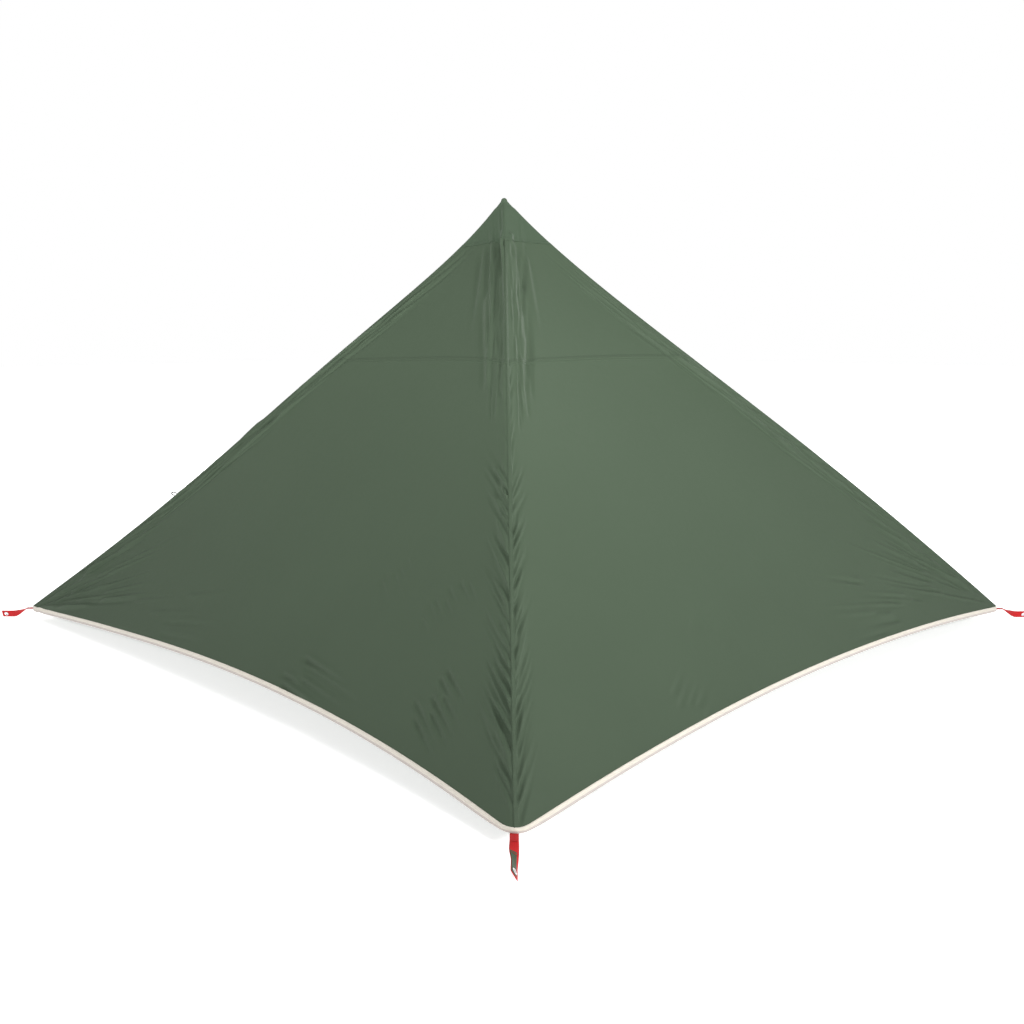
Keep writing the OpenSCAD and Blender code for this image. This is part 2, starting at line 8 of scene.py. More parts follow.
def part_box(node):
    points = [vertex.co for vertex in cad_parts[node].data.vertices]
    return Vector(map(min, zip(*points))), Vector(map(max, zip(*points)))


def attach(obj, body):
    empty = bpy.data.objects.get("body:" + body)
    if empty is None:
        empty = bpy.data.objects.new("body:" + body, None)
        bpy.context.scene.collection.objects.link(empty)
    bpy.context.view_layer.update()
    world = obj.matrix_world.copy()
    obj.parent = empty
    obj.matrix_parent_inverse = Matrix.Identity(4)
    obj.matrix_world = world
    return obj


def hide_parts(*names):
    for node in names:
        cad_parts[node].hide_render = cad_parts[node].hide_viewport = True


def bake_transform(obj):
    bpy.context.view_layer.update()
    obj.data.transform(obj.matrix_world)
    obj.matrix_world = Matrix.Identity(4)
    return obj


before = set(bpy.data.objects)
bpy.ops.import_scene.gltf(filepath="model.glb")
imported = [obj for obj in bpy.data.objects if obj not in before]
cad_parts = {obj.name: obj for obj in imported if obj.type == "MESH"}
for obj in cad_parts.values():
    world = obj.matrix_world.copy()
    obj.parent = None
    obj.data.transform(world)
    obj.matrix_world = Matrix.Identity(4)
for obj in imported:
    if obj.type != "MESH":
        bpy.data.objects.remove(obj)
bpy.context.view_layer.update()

# The shelter's looks, in metres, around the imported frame. Sides run anticlockwise from above: 0 right,
# 1 rear, 2 left, 3 front with the door. Corner s is where side s starts. On a side, u runs from its first
# corner to its second and v from the hem to the apex; x is metres along the level from its middle, and y
# metres up the slope.
MM = 0.001
FRONT = 3
FULL_TURN = 2 * math.pi


# ---------------------------------------------------------------- sizes shared with the CAD part
def middle_of(node):
    low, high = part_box(node)
    return (low + high) / 2


CORNER_SIGNS = [(1, -1), (1, 1), (-1, 1), (-1, -1)]
CORNER_NAMES = ["front_right", "rear_right", "rear_left", "front_left"]
BASE = 2.4
CORNER_H = 0.040
TOP_DROP = 0.006
PATCH_AT = 0.90
CROSS_SEAM_AT = 0.63
DOOR_AT = 0.8
FOLD_W = 0.034
TIE_AT = 0.305
PANEL_BOW = 0.016
RIDGE_SLACK = [0.030, 0.008, 0.0, 0.020]
CROWN_SLACK = [0.028, 0.015, 0.017, 0.016]
RIDGE_SWAY = [0.009, 0.0, -0.008, 0.0]
HEM_RISE = [0.078, 0.066, 0.072, 0.072]
HEM_SKEW = [0.33, 0.0, 0.0, 0.0]
RISE_FADE = 1.2
CROWN_PEAK = (6 / 7) ** 6 / 7
SLIDER_ROOM = 0.033
STRAP_W = 0.025
STRAP_TWIST = [70, -60, -70, 60]

POLE = middle_of("pole_foot")
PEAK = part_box("apex_patch")[1].z
APEX = np.array([POLE.x, POLE.y, PEAK + TOP_DROP])


# ---------------------------------------------------------------- the canopy's surface
def unit(a):
    return a / np.linalg.norm(a)


def smooth(t):
    t = np.clip(t, 0, 1)
    return t * t * (3 - 2 * t)


CORNER = [np.array([x * BASE / 2, y * BASE / 2, CORNER_H]) for x, y in CORNER_SIGNS]
MIDDLE = [(CORNER[s] + CORNER[(s + 1) % 4]) / 2 for s in range(4)]
LEVEL = [unit(CORNER[(s + 1) % 4] - CORNER[s]) for s in range(4)]
SLOPE = [unit(APEX - MIDDLE[s]) for s in range(4)]
FACE = [unit(np.cross(LEVEL[s], SLOPE[s])) for s in range(4)]
ACROSS = [np.cross(SLOPE[s], FACE[s]) for s in range(4)]
RIDGE_DIR = [unit(APEX - CORNER[i]) for i in range(4)]
RIDGE_IN = [unit(RIDGE_DIR[i] * RIDGE_DIR[i][2] - np.array([0, 0, 1])) for i in range(4)]
RIDGE_OUT = [unit(FACE[(i + 3) % 4] + FACE[i]) for i in range(4)]
SLANT = math.hypot(BASE / 2, APEX[2] - CORNER_H)
RIDGE_LEAN = math.atan2(BASE / 2, SLANT)        # between a ridge and the line up the slope, on a side


def ridge_sag(i, v):
    crown = CROWN_SLACK[i] * v ** 6 * (1 - v) / CROWN_PEAK
    return RIDGE_SLACK[i] * 4 * v * (1 - v) + crown + RIDGE_SWAY[i] * np.sin(FULL_TURN * v)


def share(s, u):
    """How much of its first ridge's sag a point across the side takes."""
    return np.maximum(0, 1 - 2 * u) ** 1.5 if s == FRONT else 1 - u


def bow(s, u, v):
    crown = np.sin(FULL_TURN * u) ** 2 / 2 if s == FRONT else 4 * u * (1 - u)
    return PANEL_BOW * 4 * v * (1 - v) * crown


def hem_rise(s, u):
    return HEM_RISE[s] * 4 * u * (1 - u) * (1 + HEM_SKEW[s] * (2 * u - 1))


def scaled(amount, direction):
    return np.asarray(amount)[..., None] * direction


def panel(s, u, v):
    """The side's plain surface, which the CAD panels share."""
    u, v = np.broadcast_arrays(np.asarray(u, float), np.asarray(v, float))
    second = (s + 1) % 4
    point = scaled((1 - u) * (1 - v), CORNER[s]) + scaled(u * (1 - v), CORNER[second]) + scaled(v, APEX)
    point = point + scaled(ridge_sag(s, v) * share(s, u), RIDGE_IN[s])
    point = point + scaled(ridge_sag(second, v) * share(s, 1 - u), RIDGE_IN[second])
    return point + scaled(hem_rise(s, u) * (1 - v) ** RISE_FADE, SLOPE[s]) - scaled(bow(s, u, v), FACE[s])


def width_at(v):
    return BASE * (1 - v)


# ---------------------------------------------------------------- puckers and folds
# A stroke is one long thin fold: where it starts on the side, its direction from the level, its length,
# width and height. The random draws are seeded, so every run gives the same cloth.
rng = np.random.default_rng(23)
strokes = [[], [], [], []]


def stroke(side, x, y, angle, length, width, height):
    strokes[side].append((x, y, math.cos(angle), math.sin(angle), length, width, height))


def ridge_strokes(side, end, first, last, step, tilt, length, width, height, off=0.006):
    """Folds that leave a ridge at a slant. end 0 is the side's first ridge, 1 its second."""
    at = first
    sign = -1 if end == 0 else 1
    while at < last:
        lean = RIDGE_LEAN + math.radians(rng.uniform(*tilt))
        away = rng.uniform(0.3, 1) * off
        x = sign * (BASE / 2 - at * math.sin(RIDGE_LEAN) - away * math.cos(RIDGE_LEAN))
        y = at * math.cos(RIDGE_LEAN) - away * math.sin(RIDGE_LEAN)
        angle = math.pi / 2 + sign * lean
        bend = rng.choice([-1, 1], p=[0.65, 0.35])
        stroke(side, x, y, angle, rng.uniform(*length), rng.uniform(*width), bend * rng.uniform(*height))
        at += step * rng.uniform(0.6, 1.4)


def corner_fan(side, end, count, angles, starts, length, width, height):
    """Folds that point at a hem corner, at angles from the hem in degrees."""
    sign = -1 if end == 0 else 1
    for _ in range(count):
        angle = math.radians(rng.uniform(*angles))
        start = rng.uniform(*starts)
        x = sign * (BASE / 2 - start * math.cos(angle))
        direction = angle if end == 0 else math.pi - angle
        bend = rng.choice([-1, 1])
        stroke(side, x, start * math.sin(angle), direction, rng.uniform(*length), rng.uniform(*width),
               bend * rng.uniform(*height))


def stroke_group(side, x, y, angle, count, gap, length, width, height):
    """A patch of parallel folds, centred at x, y."""
    turn = math.radians(angle)
    for k in range(count):
        across = (k - (count - 1) / 2) * gap * rng.uniform(0.85, 1.15)
        slide = rng.uniform(-0.25, 0.25) * length
        long = length * rng.uniform(0.7, 1.1)
        start_x = x - math.sin(turn) * across + math.cos(turn) * (slide - long / 2)
        start_y = y + math.cos(turn) * across + math.sin(turn) * (slide - long / 2)
        stroke(side, start_x, start_y, turn, long, width, height * rng.uniform(0.6, 1.1))


# beside the rear right ridge: a herringbone low down, coarse on one side and fine on the other
ridge_strokes(0, 1, 0.04, 0.90, 0.019, (16, 27), (0.12, 0.25), (0.0034, 0.0052), (0.0024, 0.0040), 0.006)
ridge_strokes(0, 1, 0.85, 1.35, 0.030, (9, 18), (0.10, 0.20), (0.0034, 0.0050), (0.0008, 0.0015), 0.010)
ridge_strokes(1, 0, 0.03, 0.90, 0.012, (12, 21), (0.08, 0.17), (0.0028, 0.0042), (0.0015, 0.0028), 0.004)
ridge_strokes(1, 0, 0.85, 1.35, 0.020, (7, 14), (0.06, 0.14), (0.0028, 0.0040), (0.0006, 0.0012), 0.008)
# near-parallel strands come down the same ridge from the apex
for place in [(0, 1), (1, 0)]:
    ridge_strokes(*place, 1.15, 1.95, 0.024, (-3, 4), (0.16, 0.40), (0.0035, 0.0060),
                  (0.0009, 0.0020), 0.085)
    ridge_strokes(*place, 1.30, 1.80, 0.090, (-1, 3), (0.30, 0.50), (0.009, 0.013), (0.0026, 0.0044), 0.10)
# beside the other ridges: shorter slanting folds low down, and long streaks nearly along the ridge
for place in [(0, 0), (1, 1), (2, 0), (2, 1), (3, 0), (3, 1)]:
    ridge_strokes(*place, 0.20, 1.20, 0.030, (5, 15), (0.12, 0.30), (0.0045, 0.0070),
                  (0.0026, 0.0046), 0.016)
    ridge_strokes(*place, 0.45, 1.70, 0.020, (-2, 6), (0.22, 0.45), (0.0042, 0.0070),
                  (0.0020, 0.0036), 0.090)
for side, end in [(0, 0), (1, 1), (2, 0), (2, 1), (3, 0), (3, 1)]:
    corner_fan(side, end, 34, (14, 48), (0.04, 0.42), (0.16, 0.40), (0.0045, 0.0070), (0.0030, 0.0052))
corner_fan(0, 0, 10, (4, 16), (0.40, 0.90), (0.20, 0.34), (0.006, 0.009), (0.0012, 0.0024))
corner_fan(1, 1, 14, (5, 20), (0.45, 0.85), (0.16, 0.30), (0.005, 0.008), (0.0014, 0.0028))
stroke_group(0, 0.43, 0.115, -8, 6, 0.017, 0.28, 0.007, -0.0046)
stroke_group(0, 0.87, 0.150, -31, 7, 0.021, 0.17, 0.006, -0.0042)
stroke_group(0, 0.71, 0.400, -36, 7, 0.024, 0.09, 0.006, -0.0018)
stroke_group(0, 0.48, 0.440, -36, 5, 0.022, 0.08, 0.006, -0.0014)
stroke_group(1, -0.29, 0.270, 38, 6, 0.024, 0.11, 0.007, -0.0018)
stroke_group(1, -0.50, 0.130, 30, 5, 0.024, 0.14, 0.007, -0.0018)
stroke_group(2, 0.35, 0.160, 14, 6, 0.020, 0.22, 0.007, -0.0030)
stroke_group(3, -0.62, 0.150, 24, 5, 0.022, 0.18, 0.007, -0.0024)
# the deep soft fold that hangs from the apex patch beside the rear right ridge, and its neighbours
stroke(0, 0.052, 1.668, math.radians(-56), 0.44, 0.011, -0.0072)
stroke(0, 0.020, 1.650, math.radians(-60), 0.36, 0.008, -0.0042)
stroke(0, 0.090, 1.640, math.radians(-55), 0.34, 0.008, 0.0045)
stroke(0, 0.000, 1.620, math.radians(-62), 0.42, 0.010, -0.0040)
stroke(1, -0.050, 1.660, math.radians(-121), 0.36, 0.009, -0.0036)
stroke(1, -0.030, 1.640, math.radians(-117), 0.40, 0.009, 0.0026)
# a short sharp pleat on the patch beside the same ridge, and the soft folds round it
stroke(0, 0.176, 1.552, math.radians(127), 0.17, 0.0050, -0.0060)
stroke(0, 0.120, 1.600, math.radians(125), 0.12, 0.0080, 0.0034)
stroke(1, -0.120, 1.600, math.radians(53), 0.12, 0.0080, -0.0030)
stroke(1, -0.060, 1.700, math.radians(-115), 0.10, 0.0090, 0.0030)

FOLD_SHARE = 1.9         # every fold stands this many times as high as its stroke says
FOLD_START = 0.15        # the share of its length over which a fold rises
FOLD_FADE = 1.1          # how early it fades towards its other end
SHOULDER = 0.45          # a fold's shoulder, as a share of its height
SHOULDER_AT = 1.5        # and how far to its side, in widths


def folds(some, x, y):
    """The height of the folds at points of a side."""
    total = np.zeros(np.shape(x))
    for x0, y0, cos, sin, length, width, height in some:
        t = ((x - x0) * cos + (y - y0) * sin) / length
        n = ((y - y0) * cos - (x - x0) * sin) / width
        near = (t > 0) & (t < 1) & (np.abs(n) < 4)
        t, n = t[near], n[near]
        taper = np.minimum(1, t / FOLD_START) * (1 - t) ** FOLD_FADE
        profile = np.exp(-n * n) - SHOULDER * np.exp(-(n - SHOULDER_AT) ** 2)
        total[near] += FOLD_SHARE * height * taper * profile
    return total


WAVES = [(2.1, 1.3, 0.4), (3.7, -2.9, 2.2), (1.2, 4.6, 4.1), (6.3, 3.1, 1.0)]
WAVE_H = 0.0009
WAVE_SHIFT = 1.7         # radians from one side to the next


def billow(side, x, y):
    """Slow swells of the cloth, a few millimetres high."""
    return sum(WAVE_H * np.sin(a * x + b * y + c + WAVE_SHIFT * side) for a, b, c in WAVES)


# how the ridges' seams hold the cloth, and how the hem's corners are rounded and drawn up
SEAM_HOLD = [0.010, 0.007, 0.010, 0.012]        # the cloth is flat within about this distance of a seam
RIDGE_ROUND = 0.006
HEM_ROUND = [0.004, 0.014, 0.004, 0.010]        # how much of each corner of the hem is rounded away
HEM_ROUND_SHARE = 0.6
HEM_ROUND_FADE = 0.06    # how far up the slope the rounder corner reaches
HEM_SPREAD = 0.024       # how far along the hem its corners are drawn up
HEM_DRAWN = 0.40
HEM_DRAWN_FADE = 0.10    # how far up the slope the cloth is drawn up with them


def round_at(i, v):
    """Radius of the rounding of a ridge, larger at the hem's corners."""
    return RIDGE_ROUND + HEM_ROUND_SHARE * HEM_ROUND[i] * np.exp(-((v * SLANT) / HEM_ROUND_FADE) ** 2)


def corner_lift(s, u):
    """How far up the slope the hem runs round its corners."""
    total = 0
    for i, d in ((s, u * BASE), ((s + 1) % 4, (1 - u) * BASE)):
        total = total + HEM_DRAWN * HEM_ROUND[i] * np.exp(-(d / HEM_SPREAD) ** 2)
    return total


def skin(s, u, v, lift=0.0):
    """The cloth's surface with its rounded ridges and folds, lifted outwards."""
    u, v, lift = np.broadcast_arrays(*(np.asarray(a, float) for a in (u, v, lift)))
    before, after = (s + 3) % 4, (s + 1) % 4
    v = v + corner_lift(s, u) / SLANT * np.exp(-((v * SLANT) / HEM_DRAWN_FADE) ** 2)
    width, first_r, second_r = width_at(v), round_at(s, v), round_at(after, v)
    from_first, from_second = u * width, (1 - u) * width
    give_first = (np.hypot(from_first, first_r) - from_first) / 2
    give_second = (np.hypot(from_second, second_r) - from_second) / 2
    point = panel(s, u + (give_first - give_second) / width, v)
    offset = panel(s, u, v) - MIDDLE[s]
    point = point + panel(before, 1 - give_first / width, v) - panel(s, 0, v)
    point = point + panel(after, give_second / width, v) - panel(s, 1, v)
    lean_first = (1 - from_first / np.hypot(from_first, first_r)) / 2
    lean_second = (1 - from_second / np.hypot(from_second, second_r)) / 2
    normal = scaled(1 - lean_first - lean_second, FACE[s])
    normal = normal + scaled(lean_first, FACE[before]) + scaled(lean_second, FACE[after])
    normal /= np.linalg.norm(normal, axis=-1, keepdims=True)
    x, y = offset @ ACROSS[s], offset @ SLOPE[s]
    held = 1 - np.exp(-(from_first / SEAM_HOLD[s]) ** 2)
    held = held * (1 - np.exp(-(from_second / SEAM_HOLD[after]) ** 2))
    height = folds(strokes[s], x, y) + billow(s, x, y)
    return point + normal * (lift + held * height)[..., None]


def cloth_uv(s, u, v):
    return np.stack(np.broadcast_arrays((u - 0.5) * width_at(v) + s * BASE, v * SLANT), axis=-1)


# ---------------------------------------------------------------- meshes
def mesh_object(name, points, faces, uvs=None, flat_faces=0):
    """A mesh from points and a list of faces. uvs gives one pair for each face corner, in metres.

    The last flat_faces faces are flat, and the others smooth.
    """
    mesh = bpy.data.meshes.new(name)
    mesh.from_pydata(np.asarray(points, float).reshape(-1, 3).tolist(), [], faces)
    layer = mesh.uv_layers.new(name="cloth")
    if uvs is not None:
        layer.data.foreach_set("uv", np.asarray(uvs, np.float32).ravel())
    mesh.polygons.foreach_set("use_smooth", [True] * (len(faces) - flat_faces) + [False] * flat_faces)
    piece = bpy.data.objects.new(name, mesh)
    bpy.context.scene.collection.objects.link(piece)
    return piece


def grid_faces(rows, cols):
    """Quads of a grid of points."""
    r, c = np.meshgrid(np.arange(rows - 1), np.arange(cols - 1), indexing="ij")
    a = r * cols + c
    return np.stack([a, a + 1, a + cols + 1, a + cols], axis=-1).reshape(-1, 4)


def grid_uvs(uv):
    rows, cols = uv.shape[:2]
    return uv.reshape(-1, 2)[grid_faces(rows, cols)]


def grid_object(name, points, uv):
    rows, cols = points.shape[:2]
    return mesh_object(name, points, grid_faces(rows, cols).tolist(), grid_uvs(uv))


def steps(a, b, n):
    return list(np.linspace(a, b, n + 1))


def joined(*lists):
    """One rising list from lists that share their ends."""
    out = list(lists[0])
    for more in lists[1:]:
        out += list(more)[1:]
    return np.array(out)


def gone(path):
    """The distance along a path of points to each of them."""
    return np.concatenate([[0], np.cumsum(np.linalg.norm(np.diff(path, axis=0), axis=1))])


def tube_object(name, path, radius, sides=10, closed=False):
    """A round cord along a path of points."""
    path = np.asarray(path, float)
    ahead = np.roll(path, -1, 0) if closed else np.vstack([path[1:], path[-1:]])
    behind = np.roll(path, 1, 0) if closed else np.vstack([path[:1], path[:-1]])
    along = ahead - behind
    along /= np.linalg.norm(along, axis=1, keepdims=True)
    plane = unit(np.cross(along[0], along[len(path) // 3]))
    side = np.cross(along, plane)
    angles = np.arange(sides + 1) / sides * FULL_TURN
    round_it = side[:, None] * np.cos(angles)[:, None] + plane * np.sin(angles)[:, None]
    ring = path[:, None] + radius * round_it
    if closed:
        ring = np.concatenate([ring, ring[:1]])
    uv = np.stack(np.broadcast_arrays(angles * radius, gone(ring[:, 0])[:, None]), axis=-1)
    return grid_object(name, ring, uv)


def merged(piece, distance=0.00001):
    """Welds points that lie together, such as a ring's first and last column."""
    bpy.context.view_layer.objects.active = piece
    modifier = piece.modifiers.new("weld", "WELD")
    modifier.merge_threshold = distance
    return piece


def thick(piece, thickness, offset=-1.0):
    modifier = piece.modifiers.new("thickness", "SOLIDIFY")
    modifier.thickness = thickness
    modifier.offset = offset
    return piece


# ---------------------------------------------------------------- materials
def srgb(red, green, blue, alpha=1.0):
    """A display colour of 0 to 255 as the linear colour that shaders take."""
    channels = [c / 255 for c in (red, green, blue)]
    return (*[c / 12.92 if c <= 0.04045 else ((c + 0.055) / 1.055) ** 2.4 for c in channels], alpha)


class Look:
    """A Principled material and short calls that add nodes to it."""

    def __init__(self, name, **constants):
        self.material = bpy.data.materials.new(name)
        self.material.use_nodes = True
        self.tree = self.material.node_tree
        self.shader = self.tree.nodes["Principled BSDF"]
        for key, value in constants.items():
            self.shader.inputs[key.replace("_", " ")].default_value = value

    def node(self, kind, links=(), **settings):
        node = self.tree.nodes.new("ShaderNode" + kind)
        for key, value in settings.items():
            if key in node.inputs:
                node.inputs[key].default_value = value
            else:
                setattr(node, key, value)
        for socket, source in dict(links).items():
            self.tree.links.new(source, node.inputs[socket])
        return node

    def uv(self, scale=(1, 1, 1), turn=0.0):
        source = self.node("UVMap", uv_map="cloth").outputs["UV"]
        return self.mapped(source, scale, turn)

    def place(self, scale=(1, 1, 1)):
        return self.mapped(self.node("TexCoord").outputs["Object"], scale, 0.0)

    def mapped(self, source, scale, turn):
        node = self.node("Mapping", {"Vector": source})
        node.inputs["Scale"].default_value = scale
        node.inputs["Rotation"].default_value = (0, 0, math.radians(turn))
        return node.outputs["Vector"]

    def noise(self, vector, scale, detail=3.0, roughness=0.55):
        return self.node("TexNoise", {"Vector": vector}, Scale=scale, Detail=detail,
                         Roughness=roughness).outputs["Fac"]

    def wave(self, vector, per_metre, direction="X", distortion=0.0):
        node = self.node("TexWave", {"Vector": vector}, bands_direction=direction, Distortion=distortion)
        node.inputs["Scale"].default_value = per_metre * math.pi / 10
        return node.outputs["Fac"]

    def math(self, operation, a, b=0.0):
        node = self.node("Math", operation=operation)
        for socket, value in zip(node.inputs, (a, b)):
            if isinstance(value, bpy.types.NodeSocket):
                self.tree.links.new(value, socket)
            else:
                socket.default_value = value
        return node.outputs["Value"]

    def ramp(self, source, *stops):
        node = self.node("ValToRGB", {"Fac": source})
        elements = node.color_ramp.elements
        while len(elements) < len(stops):
            elements.new(0.5)
        for element, (position, color) in zip(elements, stops):
            element.position = position
            element.color = color
        return node.outputs["Color"]

    def tint(self, color, source, amount):
        """Lightens and darkens a colour by a share, as the source goes from 0 to 1."""
        low = tuple(c * (1 - amount) for c in color[:3]) + (1.0,)
        high = tuple(min(1.0, c * (1 + amount)) for c in color[:3]) + (1.0,)
        return self.ramp(source, (0.25, low), (0.75, high))

    def mixed(self, factor, a, b):
        node = self.node("Mix", data_type="RGBA", blend_type="MIX")
        for socket, value in ((node.inputs[0], factor), (node.inputs[6], a), (node.inputs[7], b)):
            if isinstance(value, bpy.types.NodeSocket):
                self.tree.links.new(value, socket)
            else:
                socket.default_value = value
        return node.outputs[2]

    def color(self, source):
        self.tree.links.new(source, self.shader.inputs["Base Color"])
        return self

    def rough(self, source, low, high):
        node = self.node("MapRange", {"Value": source})
        node.inputs["To Min"].default_value = low
        node.inputs["To Max"].default_value = high
        self.tree.links.new(node.outputs["Result"], self.shader.inputs["Roughness"])
        return self

    def bump(self, height, distance, strength=1.0):
        node = self.node("Bump", {"Height": height}, Strength=strength, Distance=distance)
        previous = self.shader.inputs["Normal"].links
        if previous:
            self.tree.links.new(previous[0].from_socket, node.inputs["Normal"])
        self.tree.links.new(node.outputs["Normal"], self.shader.inputs["Normal"])
        return self


PAINTED_SHADE_TONES = (0.62, 0.80, 1.06)              # painted shade: how dark both tones are at the ground, and how light the lighter one is higher up
PAINTED_SHADE_TOP = 0.9           # the height where the painted shade stops changing the tones


def coated_cloth(name, color, weave=1400):
    """Proofed polyester: a fine plain weave, faint crinkles, slow random changes between two tones, and
    painted shade that darkens both tones towards the ground.
    """
    look = Look(name, Specular_IOR_Level=0.14)
    place = look.place()
    slow = look.noise(place, 2.2, 2.0)
    fine = look.noise(place, 70.0, 4.0)
    tone = look.math("ADD", look.math("MULTIPLY", slow, 0.65), look.math("MULTIPLY", fine, 0.35))
    height = look.node("SeparateXYZ", {"Vector": place}).outputs["Z"]
    low, mid, high = [tuple(c * part for c in color[:3]) + (1.0,) for part in PAINTED_SHADE_TONES]
    # painted shade: each tone is darker at the ground and lightens with height
    darker_with_painted_shade = look.ramp(height, (0.0, low), (PAINTED_SHADE_TOP, color))
    lighter_with_painted_shade = look.ramp(height, (0.0, mid), (PAINTED_SHADE_TOP, high))
    look.color(look.mixed(tone, darker_with_painted_shade, lighter_with_painted_shade))
    look.rough(fine, 0.52, 0.68)
    threads = look.math("MAXIMUM", look.wave(look.uv(), weave, "X"), look.wave(look.uv(), weave, "Y"))
    crinkle = look.noise(look.uv((1, 0.35, 1)), 34.0, 3.0)
    look.bump(crinkle, 0.0008, 0.5)
    look.bump(threads, 0.00004, 0.6)
    return look.material


def narrow_fabric(name, color, ribs, lines, tone=0.16, roughness=(0.62, 0.82), depth=0.0002, sheen=0.35,
                  painted_shade_band=None):
    """Woven tape or webbing: ribs across it, warp lines along it, and slight wear.

    band is (from, to, colour) for painted shade: a darker colour between two distances round the tape.
    """
    look = Look(name, Sheen_Weight=sheen, Sheen_Roughness=0.5, Specular_IOR_Level=0.3)
    rib = look.wave(look.uv(), ribs, "Y", 0.6)
    warp = look.wave(look.uv(), lines, "X")
    weave = look.math("MULTIPLY", rib, look.math("ADD", look.math("MULTIPLY", warp, 0.6), 0.4))
    worn = look.noise(look.place(), 45.0, 4.0)
    tones = look.math("ADD", look.math("MULTIPLY", weave, 0.5), look.math("MULTIPLY", worn, 0.5))
    shade = look.tint(color, tones, tone)
    # painted shade: a darker colour over part of the tape's section
    if painted_shade_band:
        first, last, painted_shade_color = painted_shade_band
        round_it = look.node("SeparateXYZ", {"Vector": look.uv()}).outputs["X"]
        inside = look.math("MULTIPLY", look.math("GREATER_THAN", round_it, first),
                           look.math("LESS_THAN", round_it, last))
        shade = look.mixed(inside, shade, look.tint(painted_shade_color, tones, tone))
    look.color(shade)
    look.rough(worn, *roughness)
    look.bump(weave, depth, 0.8)
    return look.material


def metal(name, color, roughness, grain_axis=(1, 1, 60)):
    """Brushed or drawn metal with fine lines and dull patches."""
    look = Look(name, Metallic=1.0)
    lines = look.noise(look.place(grain_axis), 260.0, 3.0)
    patches = look.noise(look.place(), 28.0, 3.0)
    look.color(look.tint(color, patches, 0.08))
    look.rough(look.math("MULTIPLY", look.math("ADD", lines, patches), 0.5), *roughness)
    look.bump(lines, 0.00003, 0.5)
    return look.material


def moulded(name, color, roughness, grain=900.0, coat=0.0):
    """Moulded plastic or rubber with a fine spark-eroded grain."""
    look = Look(name, Coat_Weight=coat, Coat_Roughness=0.15)
    grit = look.noise(look.place(), grain, 2.0)
    cloud = look.noise(look.place(), 36.0, 3.0)
    look.color(look.tint(color, cloud, 0.14))
    look.rough(cloud, *roughness)
    look.bump(grit, 0.00005, 0.5)
    return look.material


looks = {
    "canopy_fabric": coated_cloth("canopy_fabric", srgb(76, 91, 73)),
    "reinforcement_fabric": coated_cloth("reinforcement_fabric", srgb(75, 91, 73), 900),
    "seam_fabric": coated_cloth("seam_fabric", srgb(75, 90, 72), 1400),
    # the tape's rolled lower edge and lower outer face get a darker colour as painted shade, where the tape
    # turns down
    "hem_tape": narrow_fabric("hem_tape", srgb(200, 194, 182), 700, 240, 0.07,
                              painted_shade_band=(0.0090, 0.0170, srgb(172, 163, 157))),
    "red_webbing": narrow_fabric("red_webbing", srgb(176, 10, 16), 640, 330, 0.22, sheen=0.05),
    "dark_webbing": narrow_fabric("dark_webbing", srgb(44, 48, 44), 640, 330, sheen=0.1),
    "dark_cord": narrow_fabric("dark_cord", srgb(34, 36, 34), 520, 420, 0.3, depth=0.0003, sheen=0.1),
    "zip_tape": narrow_fabric("zip_tape", srgb(38, 42, 38), 900, 400),
    "zip_metal": metal("zip_metal", srgb(150, 152, 155), (0.28, 0.48)),
    "eyelet_metal": metal("eyelet_metal", srgb(214, 215, 218), (0.16, 0.34), (1, 1, 1)),
    "toggle_plastic": moulded("toggle_plastic", srgb(46, 50, 47), (0.35, 0.5)),
    "pole_aluminium": metal("pole_aluminium", srgb(196, 199, 203), (0.24, 0.42)),
    "clamp_plastic": moulded("clamp_plastic", srgb(34, 35, 37), (0.38, 0.56)),
    "lever_plastic": moulded("lever_plastic", srgb(182, 24, 30), (0.22, 0.34), coat=0.4),
    "pin_steel": metal("pin_steel", srgb(176, 178, 182), (0.2, 0.36)),
    "foot_rubber": moulded("foot_rubber", srgb(30, 30, 31), (0.68, 0.88), 500.0),
}
thread_green = narrow_fabric("thread_green", srgb(63, 77, 61), 900, 900, 0.2, sheen=0.1)
thread_cream = narrow_fabric("thread_cream", srgb(206, 198, 184), 900, 900, 0.12)
zip_teeth_look = moulded("zip_teeth", srgb(30, 32, 31), (0.3, 0.45))


def finish(piece, slot, *nodes, body=None, look=None):
    """Gives a piece its material, hides the CAD nodes that it stands for, and puts it on its body."""
    piece.data.materials.clear()
    piece.data.materials.append(look or looks[slot])
    if nodes:
        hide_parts(*nodes)
    if body:
        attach(piece, body)
    return piece


# ---------------------------------------------------------------- the door's fold lines
def in_face(point):
    offset = point - MIDDLE[FRONT]
    return np.stack([offset @ ACROSS[FRONT], offset @ SLOPE[FRONT]], axis=-1)


def near_end(end, u):
    return u if end == 0 else 1 - u


def fold_point(end, v):
    return panel(FRONT, near_end(end, FOLD_W / width_at(v)), v)


FOLD_FEET = [in_face(fold_point(end, 0.0)) for end in (0, 1)]
FOLD_TOPS = [in_face(fold_point(end, DOOR_AT)) for end in (0, 1)]


def fold_edge(end, off):
    """A function that gives u at height v of the line that lies off to the left of a fold line."""
    run = FOLD_TOPS[end] - FOLD_FEET[end]
    length = np.linalg.norm(run)

    def edge(v):
        v = np.asarray(v, float)
        u = near_end(end, FOLD_W / width_at(v))
        for _ in range(6):
            reach = in_face(panel(FRONT, u, v)) - FOLD_FEET[end]
            beside = (run[0] * reach[..., 1] - run[1] * reach[..., 0]) / length
            u = u + (beside - off) / (run[1] / length * width_at(v))
        return u

    return edge


# ---------------------------------------------------------------- the canopy
TOP_OF_CLOTH = 0.915     # the canopy ends under the apex patch


def side_spread(*runs):
    """Column places of a side, from runs of (metres along the hem where the run ends, columns)."""
    edges = [0.0] + [end / BASE for end, _ in runs]
    return joined(*[steps(a, b, n) for a, b, (_, n) in zip(edges, edges[1:], runs)])


